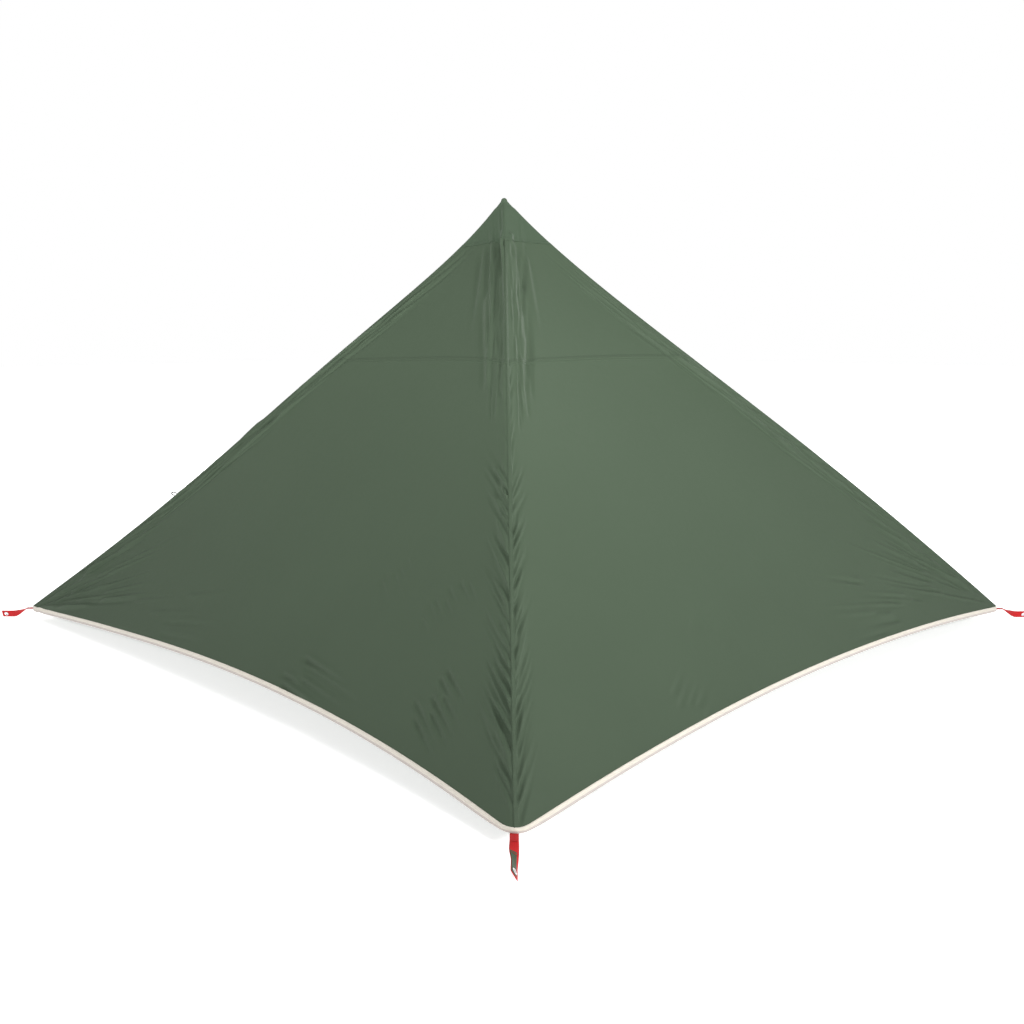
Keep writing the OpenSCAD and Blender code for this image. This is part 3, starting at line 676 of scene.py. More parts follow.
# close columns beside the ridges and where the cloth is creased
SIDE_US = [
    side_spread((0.16, 36), (0.70, 100), (1.45, 60), (2.22, 90), (2.40, 80)),
    side_spread((0.16, 72), (0.70, 50), (1.60, 50), (2.22, 90), (2.40, 36)),
    side_spread((0.22, 20), (2.18, 34), (2.40, 20)),
]
low_end = 0.26 / SLANT
creased_end = 0.80 / SLANT
cloth_rows = joined(steps(0, low_end, 46), steps(low_end, creased_end, 96), steps(creased_end, DOOR_AT, 56),
                    steps(DOOR_AT, TOP_OF_CLOTH, 12))
MARGIN_COLUMNS = 6
HEADER_COLUMNS = 36


def into_leaf(end, distance):
    """A function that gives u at height v, at a distance from a fold line into its door leaf."""
    return fold_edge(end, distance if end else -distance)


def side_columns(s, vs):
    """Columns of a side; the front's follow its margins, and keep their shares above the door."""
    if s != FRONT:
        return np.tile(SIDE_US[s], (len(vs), 1))
    low = np.minimum(vs, DOOR_AT)
    left, right = into_leaf(0, 0.0)(low), into_leaf(1, 0.0)(low)
    start, stop = 0 * vs, 0 * vs + 1
    parts = [(start, left, MARGIN_COLUMNS), (left, right, HEADER_COLUMNS), (right, stop, MARGIN_COLUMNS)]
    columns = [a + (b - a) * k / n for a, b, n in parts for k in range(n)]
    return np.stack(columns + [stop], axis=1)


def side_grid(s, us, vs, lift=0.0):
    v = np.repeat(np.asarray(vs)[:, None], us.shape[1], 1)
    return skin(s, us, v, lift), cloth_uv(s, us, v)


def ring_object(name, grids, keep=None):
    """One continuous sheet round all four sides. keep says which faces of a side stay."""
    rows = grids[0][0].shape[0]
    points = np.concatenate([g[:, :-1] for g, _ in grids], axis=1)
    around = points.shape[1]
    faces, uvs = [], []
    start = 0
    for s, (g, uv) in enumerate(grids):
        cols = g.shape[1] - 1
        r, c = np.meshgrid(np.arange(rows - 1), np.arange(cols), indexing="ij")
        a, b = r * around + start + c, r * around + (start + c + 1) % around
        quads = np.stack([a, b, b + around, a + around], axis=-1)
        corners = grid_uvs(uv).reshape(rows - 1, cols, 4, 2)
        stay = keep(s, r, c) if keep else np.full(r.shape, True)
        faces.append(quads[stay])
        uvs.append(corners[stay].reshape(-1, 2))
        start += cols
    return mesh_object(name, points, np.concatenate(faces).tolist(), np.concatenate(uvs))


def not_door(s, r, c):
    between = (c >= MARGIN_COLUMNS) & (c < MARGIN_COLUMNS + HEADER_COLUMNS)
    in_door = between & (cloth_rows[r] < DOOR_AT - 1e-6)
    return ~in_door if s == FRONT else np.full(r.shape, True)


sides = [side_grid(s, side_columns(s, cloth_rows), cloth_rows) for s in range(4)]
canopy = ring_object("canopy_sheet", sides, not_door)
panels = [f"{side}_panel_{half}" for side in ("rear", "right", "left") for half in ("lower", "upper")]
front_cloth = ["front_panel_header", "right_door_margin", "left_door_margin"]
finish(canopy, "canopy_fabric", *panels, *front_cloth, body="canopy")

# the apex patch: a second layer over the top, turned under at its edge and drawn tight over the pole's cap
PATCH_TOP = 0.975
PATCH_LIFT = 0.0014
PATCH_COLUMNS = 64
DOME_R = 0.0105
DOME_DROP = 0.010
DOME_STEEP = 1.2
patch_rows = steps(PATCH_AT, PATCH_TOP, 40)
turned_edge = [(PATCH_AT, 0.0002), (PATCH_AT - 0.0004, 0.0009), (PATCH_AT, 0.0020)]


def patch_grid(s):
    """The patch's turned edge, its cloth, and a dome over the pole's cap."""
    vs = np.array([v for v, _ in turned_edge] + patch_rows[1:])
    lifts = np.array([lift for _, lift in turned_edge] + [PATCH_LIFT] * (len(patch_rows) - 1))
    us = np.tile(steps(0, 1, PATCH_COLUMNS), (len(vs), 1))
    points, uv = side_grid(s, us, vs, lifts[:, None])
    last, up = points[-1], np.array([0, 0, 1])
    flat = last[:, :2] - APEX[:2]
    reach = np.linalg.norm(flat, axis=1, keepdims=True)
    outwards = np.concatenate([flat / reach, 0 * reach], axis=1)
    centre = np.array([APEX[0], APEX[1], 0])
    shoulder = PEAK - DOME_DROP
    dome = []
    for t in steps(0, 1, 8)[1:]:
        height = last[:, 2:] * (1 - t ** DOME_STEEP) + shoulder * t ** DOME_STEEP
        dome.append(centre + outwards * (reach * (1 - t) + DOME_R * t) + height * up)
    for turn in steps(0, math.pi / 2, 7)[1:]:
        height = shoulder + DOME_DROP * math.sin(turn)
        dome.append(centre + outwards * DOME_R * math.cos(turn) + height * up)
    rise = uv[-1:] + np.arange(1, len(dome) + 1)[:, None, None] * np.array([0, 0.003])
    return np.concatenate([points, np.array(dome)]), np.concatenate([uv, rise])


patch = ring_object("apex_patch_sheet", [patch_grid(s) for s in range(4)])
finish(merged(patch), "reinforcement_fabric", "apex_patch", body="canopy")


# ---------------------------------------------------------------- seams, bindings and stitches
def at_ridge(i, d, v, lift=0.0):
    """A point d metres past ridge i along the level: before it on one side, after it on the next."""
    d, v, lift = np.broadcast_arrays(*(np.asarray(a, float) for a in (d, v, lift)))
    before = skin((i + 3) % 4, 1 + np.minimum(d, 0) / width_at(v), v, lift)
    after = skin(i, np.maximum(d, 0) / width_at(v), v, lift)
    return np.where((d < 0)[..., None], before, after)


def lofted(name, rings):
    """A closed section carried along a path, with flat ends. rings is a path of closed loops."""
    rings = np.asarray(rings, float)
    rows, around = rings.shape[:2]
    round_it = gone(np.concatenate([rings[0], rings[0, :1]]))
    uv = np.stack(np.broadcast_arrays(round_it[None, :], gone(rings[:, 0])[:, None]), axis=-1)
    r, c = np.meshgrid(np.arange(rows - 1), np.arange(around), indexing="ij")
    a, b = r * around + c, r * around + (c + 1) % around
    quads = np.stack([a, b, b + around, a + around], axis=-1).reshape(-1, 4)
    ends = [list(range(around))[::-1], list(range((rows - 1) * around, rows * around))]
    uvs = np.concatenate([grid_uvs(uv).reshape(-1, 2), uv[0, :-1][::-1], uv[-1, :-1]])
    return mesh_object(name, rings, quads.tolist() + ends, uvs, flat_faces=2)


def stitched(name, lines, gauge=0.0009, dash=0.0045, pitch=0.0065):
    """Rows of stitches. Each line is a path of points with the normals that its threads stand on."""
    points, faces, uvs = [], [], []
    along = dash * np.array([0, 0.2, 0.8, 1.0])         # stations of one stitch, and its size at each
    sizes = gauge * np.array([0.15, 1.0, 1.0, 0.15])[None, :, None, None]
    wide, high = np.array([(0.5, 0), (0, 0.6), (-0.5, 0)]).T[:, None, None, :, None]
    count = 0
    for path, normals in lines:
        places = gone(path)
        stations = np.arange(pitch / 2, places[-1] - dash, pitch)[:, None] + along
        centre = np.stack([np.interp(stations, places, path[:, k]) for k in range(3)], axis=-1)
        up = np.stack([np.interp(stations, places, normals[:, k]) for k in range(3)], axis=-1)
        ahead = centre[:, -1:] - centre[:, :1]
        ahead /= np.linalg.norm(ahead, axis=-1, keepdims=True)
        side = np.cross(ahead, up)
        points.append(centre[:, :, None] + sizes * (wide * side[:, :, None] + high * up[:, :, None]))
        k, r, c = np.meshgrid(np.arange(len(stations)), np.arange(3), np.arange(2), indexing="ij")
        a = count + k * 12 + r * 3 + c
        faces.append(np.stack([a, a + 1, a + 4, a + 3], axis=-1).reshape(-1, 4)[:, ::-1])
        flat = np.stack([c * gauge, (k * 4 + r) * 0.001], axis=-1).reshape(-1, 1, 2)
        uvs.append(np.repeat(flat, 4, axis=1).reshape(-1, 2))
        count += points[-1][..., 0].size
    flat_points = np.concatenate([some.reshape(-1, 3) for some in points])
    return mesh_object(name, flat_points, np.concatenate(faces).tolist(), np.concatenate(uvs))


def line_on(surface, *place_and_lift):
    """A path on a surface with its normals, for stitches."""
    *place, lift = place_and_lift
    path = surface(*place, lift)
    normals = surface(*place, lift + 0.001) - path
    return path, normals / np.linalg.norm(normals, axis=-1, keepdims=True)


def in_metres(section):
    """The columns of a section that is given in millimetres."""
    return np.array(section).T * MM


# Each section is a closed loop of (millimetres across the seam, millimetres out of the cloth),
# anticlockwise as seen along the seam with the outside up. A row of stitches is given in the same way,
# in metres.
RIDGE_SECTION = [(12.4, -0.5), (12.4, 0.1), (11.8, 0.5), (10.0, 0.8), (5.0, 1.2), (1.0, 1.7), (-0.8, 1.8),
                 (-1.8, 1.4), (-2.1, 0.6), (-1.6, -0.4), (-7.2, -0.5), (-7.0, -1.5), (0.0, -1.9),
                 (10.8, -1.6)]
RIDGE_STITCHES = [(0.0020, 0.0015), (0.0096, 0.0008)]
RIDGE_START = 0.0006
UNDER_PATCH = 0.004      # how far up under the patch the ridge seams run
ridge_rows = joined(steps(RIDGE_START, low_end, 46), steps(low_end, PATCH_AT + UNDER_PATCH, 100))
for i, corner in enumerate(CORNER_NAMES):
    across, out = in_metres(RIDGE_SECTION)
    seam = lofted(f"{corner}_ridge_seam_sheet", at_ridge(i, across, ridge_rows[:, None], out))
    finish(seam, "seam_fabric", f"{corner}_ridge_seam", body="canopy")
    lines = [line_on(at_ridge, i, d, ridge_rows, lift) for d, lift in RIDGE_STITCHES]
    finish(stitched(f"{corner}_ridge_stitches", lines), "seam_fabric", body="canopy", look=thread_green)

# cross seams, where each upper panel's folded edge lies over the lower panel
CROSS_SECTION = [(-9.0, -0.5), (-9.0, 0.1), (-7.0, 0.2), (-4.0, 0.4), (-2.2, 0.4), (-1.6, 0.1), (-0.6, 0.2),
                 (-0.5, 0.8), (0.2, 1.1), (4.0, 0.8), (12.0, 0.4), (13.0, 0.1), (13.0, -0.5), (10.0, -1.4),
                 (-7.0, -1.4)]
CROSS_STITCHES = [(0.0020, 0.00095), (0.0090, 0.0006)]
SEAM_INSET = 0.0105 / width_at(CROSS_SEAM_AT)           # the ridge seam covers this much of the first end
cross_end = 1 - 0.2 * SEAM_INSET
cross_us = joined(steps(SEAM_INSET, 0.25, 36), steps(0.25, 0.75, 40), steps(0.75, cross_end, 36))
for s, side in enumerate(("right", "rear", "left")):
    up, out = in_metres(CROSS_SECTION)
    rings = skin(s, cross_us[:, None], CROSS_SEAM_AT + up / SLANT, out)
    finish(lofted(f"{side}_cross_seam_sheet", rings), "seam_fabric", f"{side}_cross_seam", body="canopy")
    lines = [line_on(skin, s, cross_us, CROSS_SEAM_AT + up / SLANT, lift) for up, lift in CROSS_STITCHES]
    finish(stitched(f"{side}_cross_stitches", lines), "seam_fabric", body="canopy", look=thread_green)

# stitches round the apex patch's edge
patch_us = np.linspace(0.01, 0.99, 60)
lines = [line_on(skin, s, patch_us, PATCH_AT + up / SLANT, PATCH_LIFT + 0.0001)
         for s in range(4) for up in (0.003, 0.011)]
finish(stitched("apex_patch_stitches", lines), "reinforcement_fabric", body="canopy", look=thread_green)

# the hem's binding: woven tape folded over the cloth's edge, most of it hanging below
# a section point is (millimetres up the cloth, millimetres out of it, millimetres straight down)
HEM_SECTION = [(0.0, -1.5, 6.0), (0.0, -1.1, 13.8), (0.0, -0.2, 15.0), (0.0, 0.9, 14.4), (0.0, 1.4, 12.0),
               (0.0, 1.5, 8.6), (0.0, 2.0, 8.0), (0.0, 2.3, 6.5), (0.0, 2.3, 3.0), (0.4, 2.2, 0.8),
               (1.8, 2.0, 0.0), (3.0, 1.5, 0.0), (3.3, 0.4, 0.0), (3.3, -1.0, 0.0), (1.5, -1.7, 0.0)]


HEM_TUCK = 0.45          # the share of its depth that the binding loses at the rear right corner
HEM_TUCK_REACH = 0.070
HEM_STITCH_LIFT = 0.00235
HEM_STITCH_DOWN = 0.0046


def hem_share(s, us):
    """The share of its full depth that the binding hangs; it is drawn up round the rear right corner."""
    away = {0: (1 - us) * BASE, 1: us * BASE}.get(s, BASE + 0 * us)
    return 1 - HEM_TUCK * np.exp(-(away / HEM_TUCK_REACH) ** 2)


def hem_rings(s, us):
    """Loops of the binding's section at places along the hem of a side."""
    us = np.asarray(us)[:, None]
    up, out, down = in_metres(HEM_SECTION)
    return skin(s, us, up / SLANT, out) - (down * hem_share(s, us))[..., None] * np.array([0, 0, 1])


def hem_stitches(s, us):
    path, normals = line_on(skin, s, np.asarray(us), 0.0, HEM_STITCH_LIFT)
    return path - np.array([0, 0, HEM_STITCH_DOWN]), normals


HEM_GAP = 0.0004         # between the canopy's binding and a fold line
corner_us = list(np.linspace(0, 0.05, 16)[:-1])
hem_us = np.array(corner_us + steps(0.05, 0.95, 120) + [1 - u for u in corner_us[::-1]])
left_end, right_end = (float(into_leaf(end, -HEM_GAP)(0.0)) for end in (0, 1))
runs = [(FRONT, np.linspace(right_end, 1, 24)), (0, hem_us), (1, hem_us), (2, hem_us)]
runs.append((FRONT, np.linspace(0, left_end, 24)))
rings = np.concatenate([hem_rings(s, us)[:-1] for s, us in runs] + [hem_rings(*runs[-1])[-1:]])
hem = lofted("canopy_hem_binding", rings)
finish(hem, "hem_tape", "rear_hem_tape", "right_hem_tape", "left_hem_tape", body="canopy")
finish(stitched("canopy_hem_stitches", [hem_stitches(s, us) for s, us in runs]), "hem_tape", body="canopy",
       look=thread_cream)

# ---------------------------------------------------------------- the door
LEAF_UNDER = 0.014       # the leaf runs on this far behind the margin, where the cloth bends
LEAF_EDGE = 0.0075       # from the zip's middle to the leaf's folded edge
LEAF_SUNK = 0.0009       # how far under the margin's cloth the leaf's hinge edge lies
DOOR_CLEAR = 0.003 / SLANT
DOOR_FOOT = 0.0018       # where the facings and the zip's tapes start, as a share of the slope
leaf_rows = np.array(steps(0, DOOR_AT - DOOR_CLEAR, 130))
facing_rows = np.array(steps(DOOR_FOOT, DOOR_AT - DOOR_CLEAR, 110))
leaf_shares = joined(steps(0, 0.05, 10), steps(0.05, 0.9, 62), steps(0.9, 1, 12))
# sections in (millimetres from the zip's middle, millimetres out of the cloth)
LEAF_FACING = [(7.3, -0.4), (7.2, 0.9), (8.2, 1.3), (13.0, 1.1), (18.0, 0.9), (18.6, 0.2), (18.6, -0.5),
               (13.0, -0.9)]
ZIP_TAPE = [(3.0, -0.7), (17.4, -0.8), (17.4, -0.1), (12.0, 0.1), (7.0, 0.2), (3.0, 0.1)]
FACING_STITCHES = [(0.0095, 0.0012), (0.0165, 0.0009)]
# a tooth's outline in millimetres, from the zip's middle and up the slope; the leaves' teeth interlock
TOOTH = np.array([(-0.9, -0.6), (-0.9, 0.6), (1.6, 0.72), (3.6, 0.8), (3.6, -0.8), (1.6, -0.72)])
TOOTH_MIDDLE = 2.0
TOOTH_LAYERS = [(-1.5, 1.0), (0.7, 1.0), (1.1, 0.75)]   # (millimetres out of the cloth, share of its size)
TOOTH_PITCH = 0.0030


def beside_zip(end, d):
    """A function that gives u at height v, at a distance from the zip's middle towards a leaf."""
    return lambda v: 0.5 + (d if end else -d) / width_at(np.asarray(v, float))


def leaf_u(end, shares, vs):
    hinge, free = into_leaf(end, -LEAF_UNDER)(vs)[:, None], beside_zip(end, LEAF_EDGE)(vs)[:, None]
    return hinge + (free - hinge) * shares[None, :]


def under_margin(end, us, vs):
    """How far the leaf's cloth stands out, below the margin's at its hinge edge and level beyond it."""
    past = (us - into_leaf(end, 0.0)(vs)[:, None]) * width_at(vs)[:, None] * (-1 if end else 1)
    return -LEAF_SUNK * (1 - smooth((past + 0.004) / 0.010))


def leaf_sheet(end, name):
    us = leaf_u(end, leaf_shares, leaf_rows)
    if end:
        us = us[:, ::-1]
    return grid_object(name, *side_grid(FRONT, us, leaf_rows, under_margin(end, us, leaf_rows)))


def beside_zip_strip(end, name, section, rows):
    """A flat strip of a leaf that runs up beside the zip."""
    section = section if end else section[::-1]
    loops = [skin(FRONT, beside_zip(end, d * MM)(rows), rows, lift * MM) for d, lift in section]
    return lofted(name, np.stack(loops, axis=1))


def zip_teeth(end, name, low, high):
    """A leaf's moulded teeth, from one share of the slope to another."""
    shift = TOOTH_PITCH / 2 if end else 0
    places = np.arange(low * SLANT + TOOTH_PITCH, high * SLANT - TOOTH_PITCH, TOOTH_PITCH) + shift
    across, along = TOOTH.T
    sides = len(TOOTH)
    points, faces = [], []
    for k, y in enumerate(places):
        v = y / SLANT + along * MM / SLANT
        for lift, size in TOOTH_LAYERS:
            d = (TOOTH_MIDDLE + (across - TOOTH_MIDDLE) * size) * MM
            points.append(skin(FRONT, beside_zip(end, d)(v), v, lift * MM))
        base = k * sides * len(TOOTH_LAYERS)
        for layer in (0, sides):
            for c in range(sides):
                a, b = base + layer + c, base + layer + (c + 1) % sides
                faces.append([a, b, b + sides, a + sides][::(1 if end else -1)])
        cap = [base + 2 * sides + c for c in range(sides)]
        faces.append(cap if end else cap[::-1])
    return mesh_object(name, np.concatenate(points), faces, flat_faces=len(faces))


for end, side in enumerate(("left", "right")):
    leaf_body = f"{side}_door"
    leaf = leaf_sheet(end, f"{side}_door_sheet")
    finish(leaf, "canopy_fabric", f"{side}_door_lower", f"{side}_door_upper")
    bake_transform(leaf)
    # its binding starts beside the canopy's
    edge_us = np.linspace(float(into_leaf(end, 0.0006)(0.0)), float(beside_zip(end, LEAF_EDGE)(0.0)), 90)
    edge_us = edge_us[::-1] if end else edge_us
    binding = lofted(f"{side}_door_hem_binding", hem_rings(FRONT, edge_us))
    finish(binding, "hem_tape", f"{side}_door_hem_tape", body=leaf_body)
    sewing = stitched(f"{side}_door_hem_stitches", [hem_stitches(FRONT, edge_us)])
    finish(sewing, "hem_tape", body=leaf_body, look=thread_cream)
    # a flat hem along the zip, and its stitches
    facing = beside_zip_strip(end, f"{side}_door_facing", LEAF_FACING, facing_rows)
    finish(facing, "seam_fabric", body=leaf_body)
    lines = [line_on(skin, FRONT, beside_zip(end, d)(facing_rows), facing_rows, lift)
             for d, lift in FACING_STITCHES]
    finish(stitched(f"{side}_door_stitches", lines), "seam_fabric", body=leaf_body, look=thread_green)
    # the zip's tape and teeth; the slider's own leaf leaves it room at both ends
    clear = (SLIDER_ROOM / SLANT) if end == 0 else 0.0
    low, high = DOOR_FOOT + clear, DOOR_AT - DOOR_CLEAR - clear
    tape = beside_zip_strip(end, f"{side}_zip_tape_woven", ZIP_TAPE, np.array(steps(low, high, 60)))
    finish(tape, "zip_tape", f"{side}_zip_tape", body=leaf_body)
    teeth = zip_teeth(end, f"{side}_zip_teeth", low, high)
    finish(teeth, "zip_tape", body=leaf_body, look=zip_teeth_look)

# the header's facing, a strip sewn inside that closes the gap above the door
FACING = [(-7.0, -3.0), (-7.0, -4.0), (6.0, -2.4), (14.0, -1.6), (14.0, -0.6), (6.0, -1.2)]
facing_us = np.linspace(float(into_leaf(0, 0.004)(DOOR_AT)), float(into_leaf(1, 0.004)(DOOR_AT)), 60)
up, out = in_metres(FACING)
facing = lofted("door_header_facing", skin(FRONT, facing_us[:, None], DOOR_AT + up / SLANT, out))
finish(facing, "seam_fabric", body="canopy")
lines = [line_on(skin, FRONT, facing_us, DOOR_AT + 0.004 / SLANT, 0.0003)]
finish(stitched("door_header_stitches", lines), "seam_fabric", body="canopy", look=thread_green)


# ---------------------------------------------------------------- pegging straps
STRAP_REACH = 0.102
STRAP_BEND = 0.064
STRAP_ROOT = 0.004
STRAP_ROOT_Z = 0.036
STRAP_END_Z = 0.015
STRAP_THICK = 0.0016
STRAP_CURL = 0.0012
ROOT_WIDTH = 0.72        # share of the webbing's width where it is folded into the corner
STRAP_SEWN = 0.030       # how far the webbing runs in under the corner
STRAP_FACED = 0.034      # where its facing starts
TACKS_AT = (0.012, 0.038)
EYELET_AT = 0.088
EYELET_HOLE = 0.0053


def strap_frame(i, x):
    """The strap's middle x metres out from the corner, its directions across and out of its face, and
    how far it has come out of the fold at the corner, from 0 to 1."""
    out = np.array([CORNER_SIGNS[i][0], CORNER_SIGNS[i][1], 0]) / math.sqrt(2)
    left, up = np.array([-out[1], out[0], 0]), np.array([0, 0, 1])
    t = float(smooth((x - STRAP_ROOT) / (STRAP_BEND - STRAP_ROOT)))
    turn = math.radians(STRAP_TWIST[i]) * t
    middle = out * (BASE / math.sqrt(2) + x) + up * (STRAP_ROOT_Z * (1 - t) + STRAP_END_Z * t)
    across = left * math.cos(turn) + up * math.sin(turn)
    return middle, across, up * math.cos(turn) - left * math.sin(turn), t


def strap_rings(i, edge, places):
    """The loops of a strap's edge along its length. edge is a closed loop of (share across, metres out)."""
    rings = []
    for x in places:
        middle, across, normal, t = strap_frame(i, x)
        wide = STRAP_W * (ROOT_WIDTH + (1 - ROOT_WIDTH) * t)
        curl = STRAP_CURL * (1 - t)
        rings.append([middle + across * wide * a + normal * (h - curl * (2 * a) ** 2) for a, h in edge])
    return rings


def pierced(piece, i):
    """Cuts the eyelet's hole through a piece of a strap."""
    middle, across, normal, _ = strap_frame(i, EYELET_AT)
    ahead = np.cross(across, normal)
    turns = np.arange(32) / 32 * FULL_TURN + 0.05
    ring = EYELET_HOLE * (np.cos(turns)[:, None] * across + np.sin(turns)[:, None] * ahead)
    cutter = lofted("cutter", [middle + ring + normal * h for h in (0.006, -0.006)])
    modifier = piece.modifiers.new("hole", "BOOLEAN")
    modifier.object = cutter
    modifier.solver = "EXACT"
    bpy.context.view_layer.update()
    holed = bpy.data.meshes.new_from_object(piece.evaluated_get(bpy.context.evaluated_depsgraph_get()))
    piece.modifiers.clear()
    piece.data = holed
    bpy.data.objects.remove(cutter)
    return piece


def loop_section(first, last, low, high):
    """A thin closed section from one share across the strap to another."""
    spread = np.linspace(first, last, 9)
    rim = 0.25 * (high - low)
    inset = [rim] + [0] * (len(spread) - 2) + [rim]
    top = [(a, high - less) for a, less in zip(spread, inset)]
    return top[::-1] + [(a, low + more) for a, more in zip(spread, inset)]


def bar_tack(i, x):
    """Dense stitching across a strap: a path that runs to and fro, with its normals."""
    middle, across, normal, t = strap_frame(i, x)
    ahead = np.cross(normal, across)
    wide = STRAP_W * (ROOT_WIDTH + (1 - ROOT_WIDTH) * t)
    lanes = np.linspace(-0.42, 0.42, 26)
    path = [middle + across * wide * a + ahead * 0.0016 * (-1) ** k + normal * (STRAP_THICK / 2 + 0.0004)
            for k, a in enumerate(lanes)]
    return np.array(path), np.tile(normal, (len(path), 1))


strap_places = joined(np.linspace(-STRAP_SEWN, STRAP_BEND, 40), np.linspace(STRAP_BEND, STRAP_REACH, 22))
facing_places = np.linspace(STRAP_FACED, STRAP_REACH - 0.001, 40)
webbing_section = loop_section(-0.5, 0.5, -STRAP_THICK / 2, STRAP_THICK / 2)
facing_section = loop_section(-0.47, 0.24, STRAP_THICK / 2 - 0.0001, STRAP_THICK / 2 + 0.0005)
for i, corner in enumerate(CORNER_NAMES):
    body = f"{corner}_strap"
    strap = pierced(lofted(f"{corner}_strap_webbing", strap_rings(i, webbing_section, strap_places)), i)
    finish(strap, "red_webbing", f"{corner}_strap", body=body)
    facing = pierced(lofted(f"{corner}_strap_facing", strap_rings(i, facing_section, facing_places)), i)
    finish(facing, "reinforcement_fabric", body=body)
    tacks = stitched(f"{corner}_strap_tacks", [bar_tack(i, x) for x in TACKS_AT], 0.0008, 0.003, 0.0032)
    finish(tacks, "red_webbing", body=body)

# ---------------------------------------------------------------- tie-backs on the front ridges
LOOP_R = 0.0055
LOOP_LONG = 0.0085
LOOP_LEG = 0.008
LOOP_DROOP = 0.35        # how steeply a loop hangs from its ridge
LOOP_CORD_R = 0.0019
LOOP_SEWN = 0.001        # how far its ends run in under the seam, and how far out of the cloth they are
LOOP_LIFT = 0.0012
TAB_DOWN = 0.026
TAB_IN = 0.011
TAB_W = 0.009
TAB_TOP = 0.030          # from the eye up to the seam's underside
TAB_EYE = 0.0036         # from the tab's lower end to its eye
TAB_HOLE = 0.0022
LINK_R = 0.009
LINK_CORD_R = 0.001


def tab_sheet(name, eye, outwards, top):
    """A strip of webbing in a plane across the diagonal, with a hole round its eye."""
    level, up = np.array([-outwards[1], outwards[0], 0]), np.array([0, 0, 1])
    turns = (np.arange(49) / 48) * FULL_TURN + math.pi / 4
    cos, sin = np.cos(turns), np.sin(turns)
    far_up = np.where(sin > 0, top, TAB_EYE)
    reach = np.minimum(TAB_W / 2 / np.maximum(np.abs(cos), 1e-6), far_up / np.maximum(np.abs(sin), 1e-6))
    shares = np.linspace(0, 1, 9)[:, None]
    flat = TAB_HOLE * (1 - shares) + reach * shares
    wide, high = flat * cos, flat * sin
    bend = 0.0008 * np.sin(high / top * math.pi) ** 2
    points = eye + wide[..., None] * level + high[..., None] * up + bend[..., None] * outwards
    return thick(merged(grid_object(name, points, np.stack([wide, high], axis=-1))), 0.0014, 0.0)


for side, i in (("right", 0), ("left", 3)):
    root = panel(i, 0.0, TIE_AT)
    out, along = RIDGE_OUT[i], RIDGE_DIR[i]
    turns = np.linspace(-math.pi / 2, math.pi / 2, 21)
    bight = [(LOOP_LEG + LOOP_LONG * math.cos(a), LOOP_R * math.sin(a)) for a in turns]
    u_shape = [(-LOOP_SEWN, -LOOP_R)] + bight + [(-LOOP_SEWN, LOOP_R)]
    droop = out - np.array([0, 0, LOOP_DROOP])
    path = [root + out * LOOP_LIFT + droop * x + along * y for x, y in u_shape]
    loop = tube_object(f"{side}_tie_loop_cord", path, LOOP_CORD_R)
    finish(loop, "dark_cord", f"{side}_tie_loop", body="canopy")
    diagonal = np.array([CORNER_SIGNS[i][0], CORNER_SIGNS[i][1], 0]) / math.sqrt(2)
    eye = root - np.array([0, 0, TAB_DOWN]) - diagonal * TAB_IN
    tab = tab_sheet(f"{side}_toggle_tab_webbing", eye, diagonal, TAB_TOP)
    finish(tab, "dark_webbing", f"{side}_toggle_tab", body="canopy")
    turns = np.arange(40) / 40 * FULL_TURN
    centre = eye - np.array([0, 0, LINK_R])
    ring = [centre + LINK_R * (diagonal * math.cos(a) + np.array([0, 0, 1]) * math.sin(a)) for a in turns]
    cord = tube_object(f"{side}_toggle_cord_braid", ring, LINK_CORD_R, closed=True)
    finish(merged(cord), "dark_cord", f"{side}_toggle_cord", body=f"{side}_toggle")

# ---------------------------------------------------------------- the pocket over the pole's cap
# (radius, height below the pocket's roof) down the pocket, with a rolled edge at its mouth
POCKET = [(0.0004, 0.0), (0.003, 0.0001), (0.0055, 0.0012), (0.0075, 0.0042), (0.0115, 0.0110),
          (0.0155, 0.0185), (0.0190, 0.0255), (0.0213, 0.0305), (0.0222, 0.0322), (0.0232, 0.0318),
          (0.0232, 0.0308), (0.0222, 0.0300)]
POCKET_H = 0.032
POCKET_MEAN_R = 0.015
PLEATS = 7
PLEAT_DEPTH = 0.035      # as a share of the radius, at the pocket's mouth
pocket_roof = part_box("apex_cup")[1].z - 0.0012
turns = np.arange(73) / 72 * FULL_TURN
radius, drop = np.array(POCKET).T[:, :, None]
reach = radius * (1 + PLEAT_DEPTH * np.sin(PLEATS * turns) * (drop / POCKET_H) ** 2)
around = np.stack([np.cos(turns) * reach, np.sin(turns) * reach, -drop + 0 * turns], axis=-1)
pocket_uv = np.stack(np.broadcast_arrays(turns * POCKET_MEAN_R, drop), axis=-1)
pocket = grid_object("apex_pocket_sheet", around + np.array([POLE.x, POLE.y, pocket_roof]), pocket_uv)
finish(thick(merged(pocket), 0.0008, 0.0), "reinforcement_fabric", "apex_cup", body="canopy")

# ---------------------------------------------------------------- CAD nodes that stay, with their finishes
KEPT = {
    "zip_metal": ["zip_slider", "zip_puller"],
    "eyelet_metal": [f"{corner}_eyelet" for corner in CORNER_NAMES],
    "toggle_plastic": ["right_toggle", "left_toggle"],
    "pole_aluminium": ["pole_upper_tube", "pole_lower_tube"],
    "clamp_plastic": ["pole_top_cap", "slide_bushing", "clamp_collar"],
    "lever_plastic": ["clamp_lever"],
    "pin_steel": ["clamp_pin"],
    "foot_rubber": ["pole_foot"],
}
for slot, nodes in KEPT.items():
    for node in nodes:
        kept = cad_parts[node]
        if not kept.material_slots:
            kept.data.materials.append(None)
        for holder in kept.material_slots:
            holder.link = "OBJECT"
            holder.material = looks[slot]

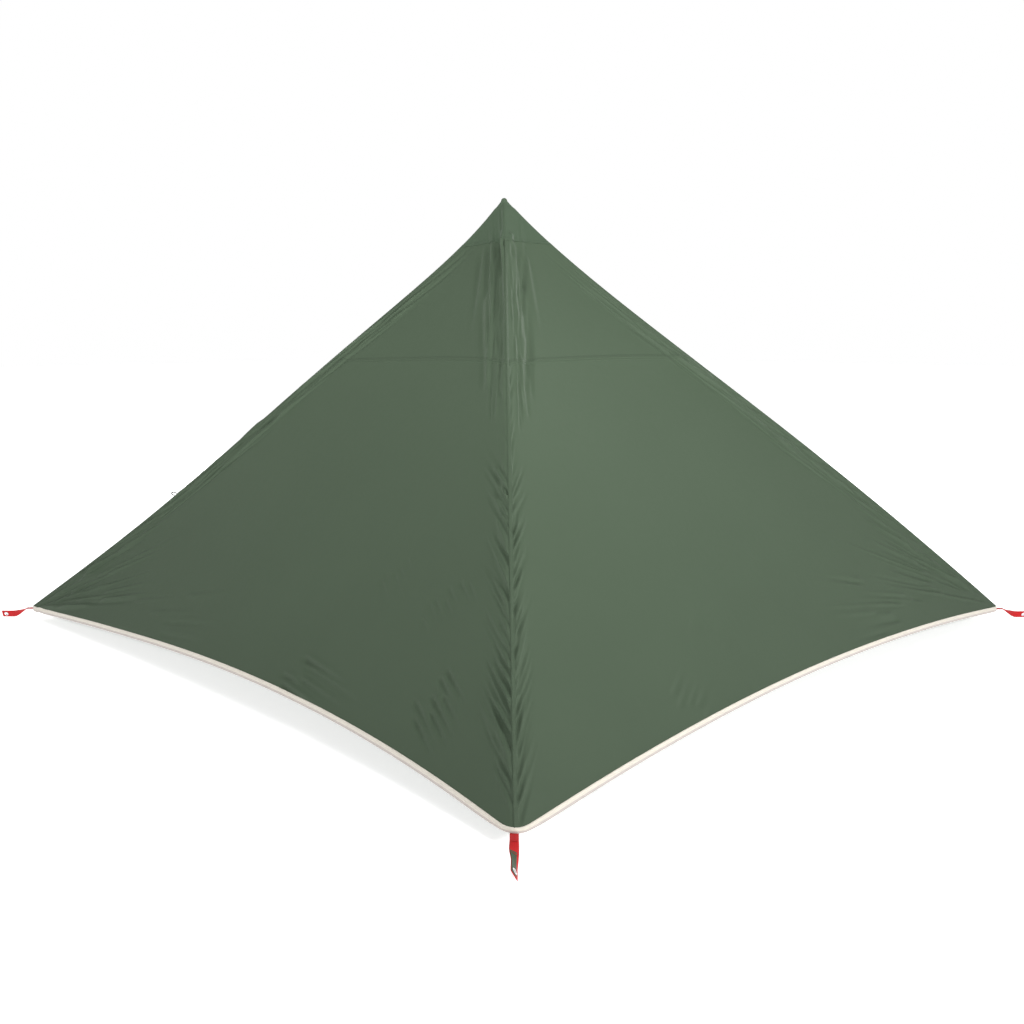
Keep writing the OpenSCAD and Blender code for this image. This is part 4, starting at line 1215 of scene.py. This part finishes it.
# ---------------------------------------------------------------- floor, light and camera
bpy.ops.mesh.primitive_plane_add(size=60)
floor = bpy.context.object
floor.name = "floor"
floor_look = Look("floor", Roughness=0.9)
floor_look.shader.inputs["Base Color"].default_value = (0.86, 0.86, 0.86, 1)
floor_look.shader.inputs["Emission Color"].default_value = (1, 1, 1, 1)
floor_look.shader.inputs["Emission Strength"].default_value = 0.6
floor.data.materials.append(floor_look.material)

world = bpy.data.worlds.new("studio")
bpy.context.scene.world = world
world.use_nodes = True
background = world.node_tree.nodes["Background"]
background.inputs["Color"].default_value = (1, 1, 1, 1)
# bright walls to well above the camera's view, and a dim ceiling
sky = world.node_tree.nodes
heights = sky.new("ShaderNodeSeparateXYZ")
fade = sky.new("ShaderNodeMapRange")
for key, value in {"From Min": 0.40, "From Max": 0.52, "To Min": 1.0, "To Max": 0.16}.items():
    fade.inputs[key].default_value = value
world.node_tree.links.new(sky.new("ShaderNodeTexCoord").outputs["Generated"], heights.inputs["Vector"])
world.node_tree.links.new(heights.outputs["Z"], fade.inputs["Value"])
world.node_tree.links.new(fade.outputs["Result"], background.inputs["Strength"])
bpy.context.scene.view_settings.view_transform = "Standard"


def softbox(name, place, target, size, power):
    light = bpy.data.lights.new(name, "AREA")
    light.shape = "SQUARE"
    light.size = size
    light.energy = power
    lamp = bpy.data.objects.new(name, light)
    bpy.context.scene.collection.objects.link(lamp)
    lamp.location = place
    lamp.rotation_euler = (Vector(target) - Vector(place)).to_track_quat("-Z", "Y").to_euler()


softbox("top", (1.5, 1.5, 2.7), (0.3, 0.3, 0.9), 0.7, 18)
softbox("right", (0.4, 4.6, 1.9), (0.3, 0.6, 0.5), 0.6, 118)
softbox("left", (4.8, -1.2, 2.0), (0.6, 0.2, 0.5), 0.6, 54)
softbox("front", (-1.6, -5.0, 2.4), (-0.2, -0.5, 0.6), 1.0, 110)
softbox("side", (-5.0, -1.0, 2.4), (-0.5, -0.2, 0.6), 1.0, 90)
ceiling = bpy.data.objects.new("ceiling", bpy.data.lights.new("ceiling", "SUN"))
ceiling.data.energy = 0.5
ceiling.data.angle = math.radians(60)
bpy.context.scene.collection.objects.link(ceiling)

# the camera looks at the rear right corner from a little above it
CAMERA_AT = (2.520, 2.520, 0.988)
CAMERA_TURN = math.radians(135) + 0.0023
CAMERA_PITCH = 0.1696
CAMERA_LENS = 36.81
camera = bpy.data.objects.new("camera", bpy.data.cameras.new("camera"))
bpy.context.scene.collection.objects.link(camera)
camera.data.sensor_width = 36.0
camera.data.lens = CAMERA_LENS
camera.location = CAMERA_AT
camera.rotation_euler = (math.pi / 2 - CAMERA_PITCH, 0, CAMERA_TURN)
bpy.context.scene.camera = camera
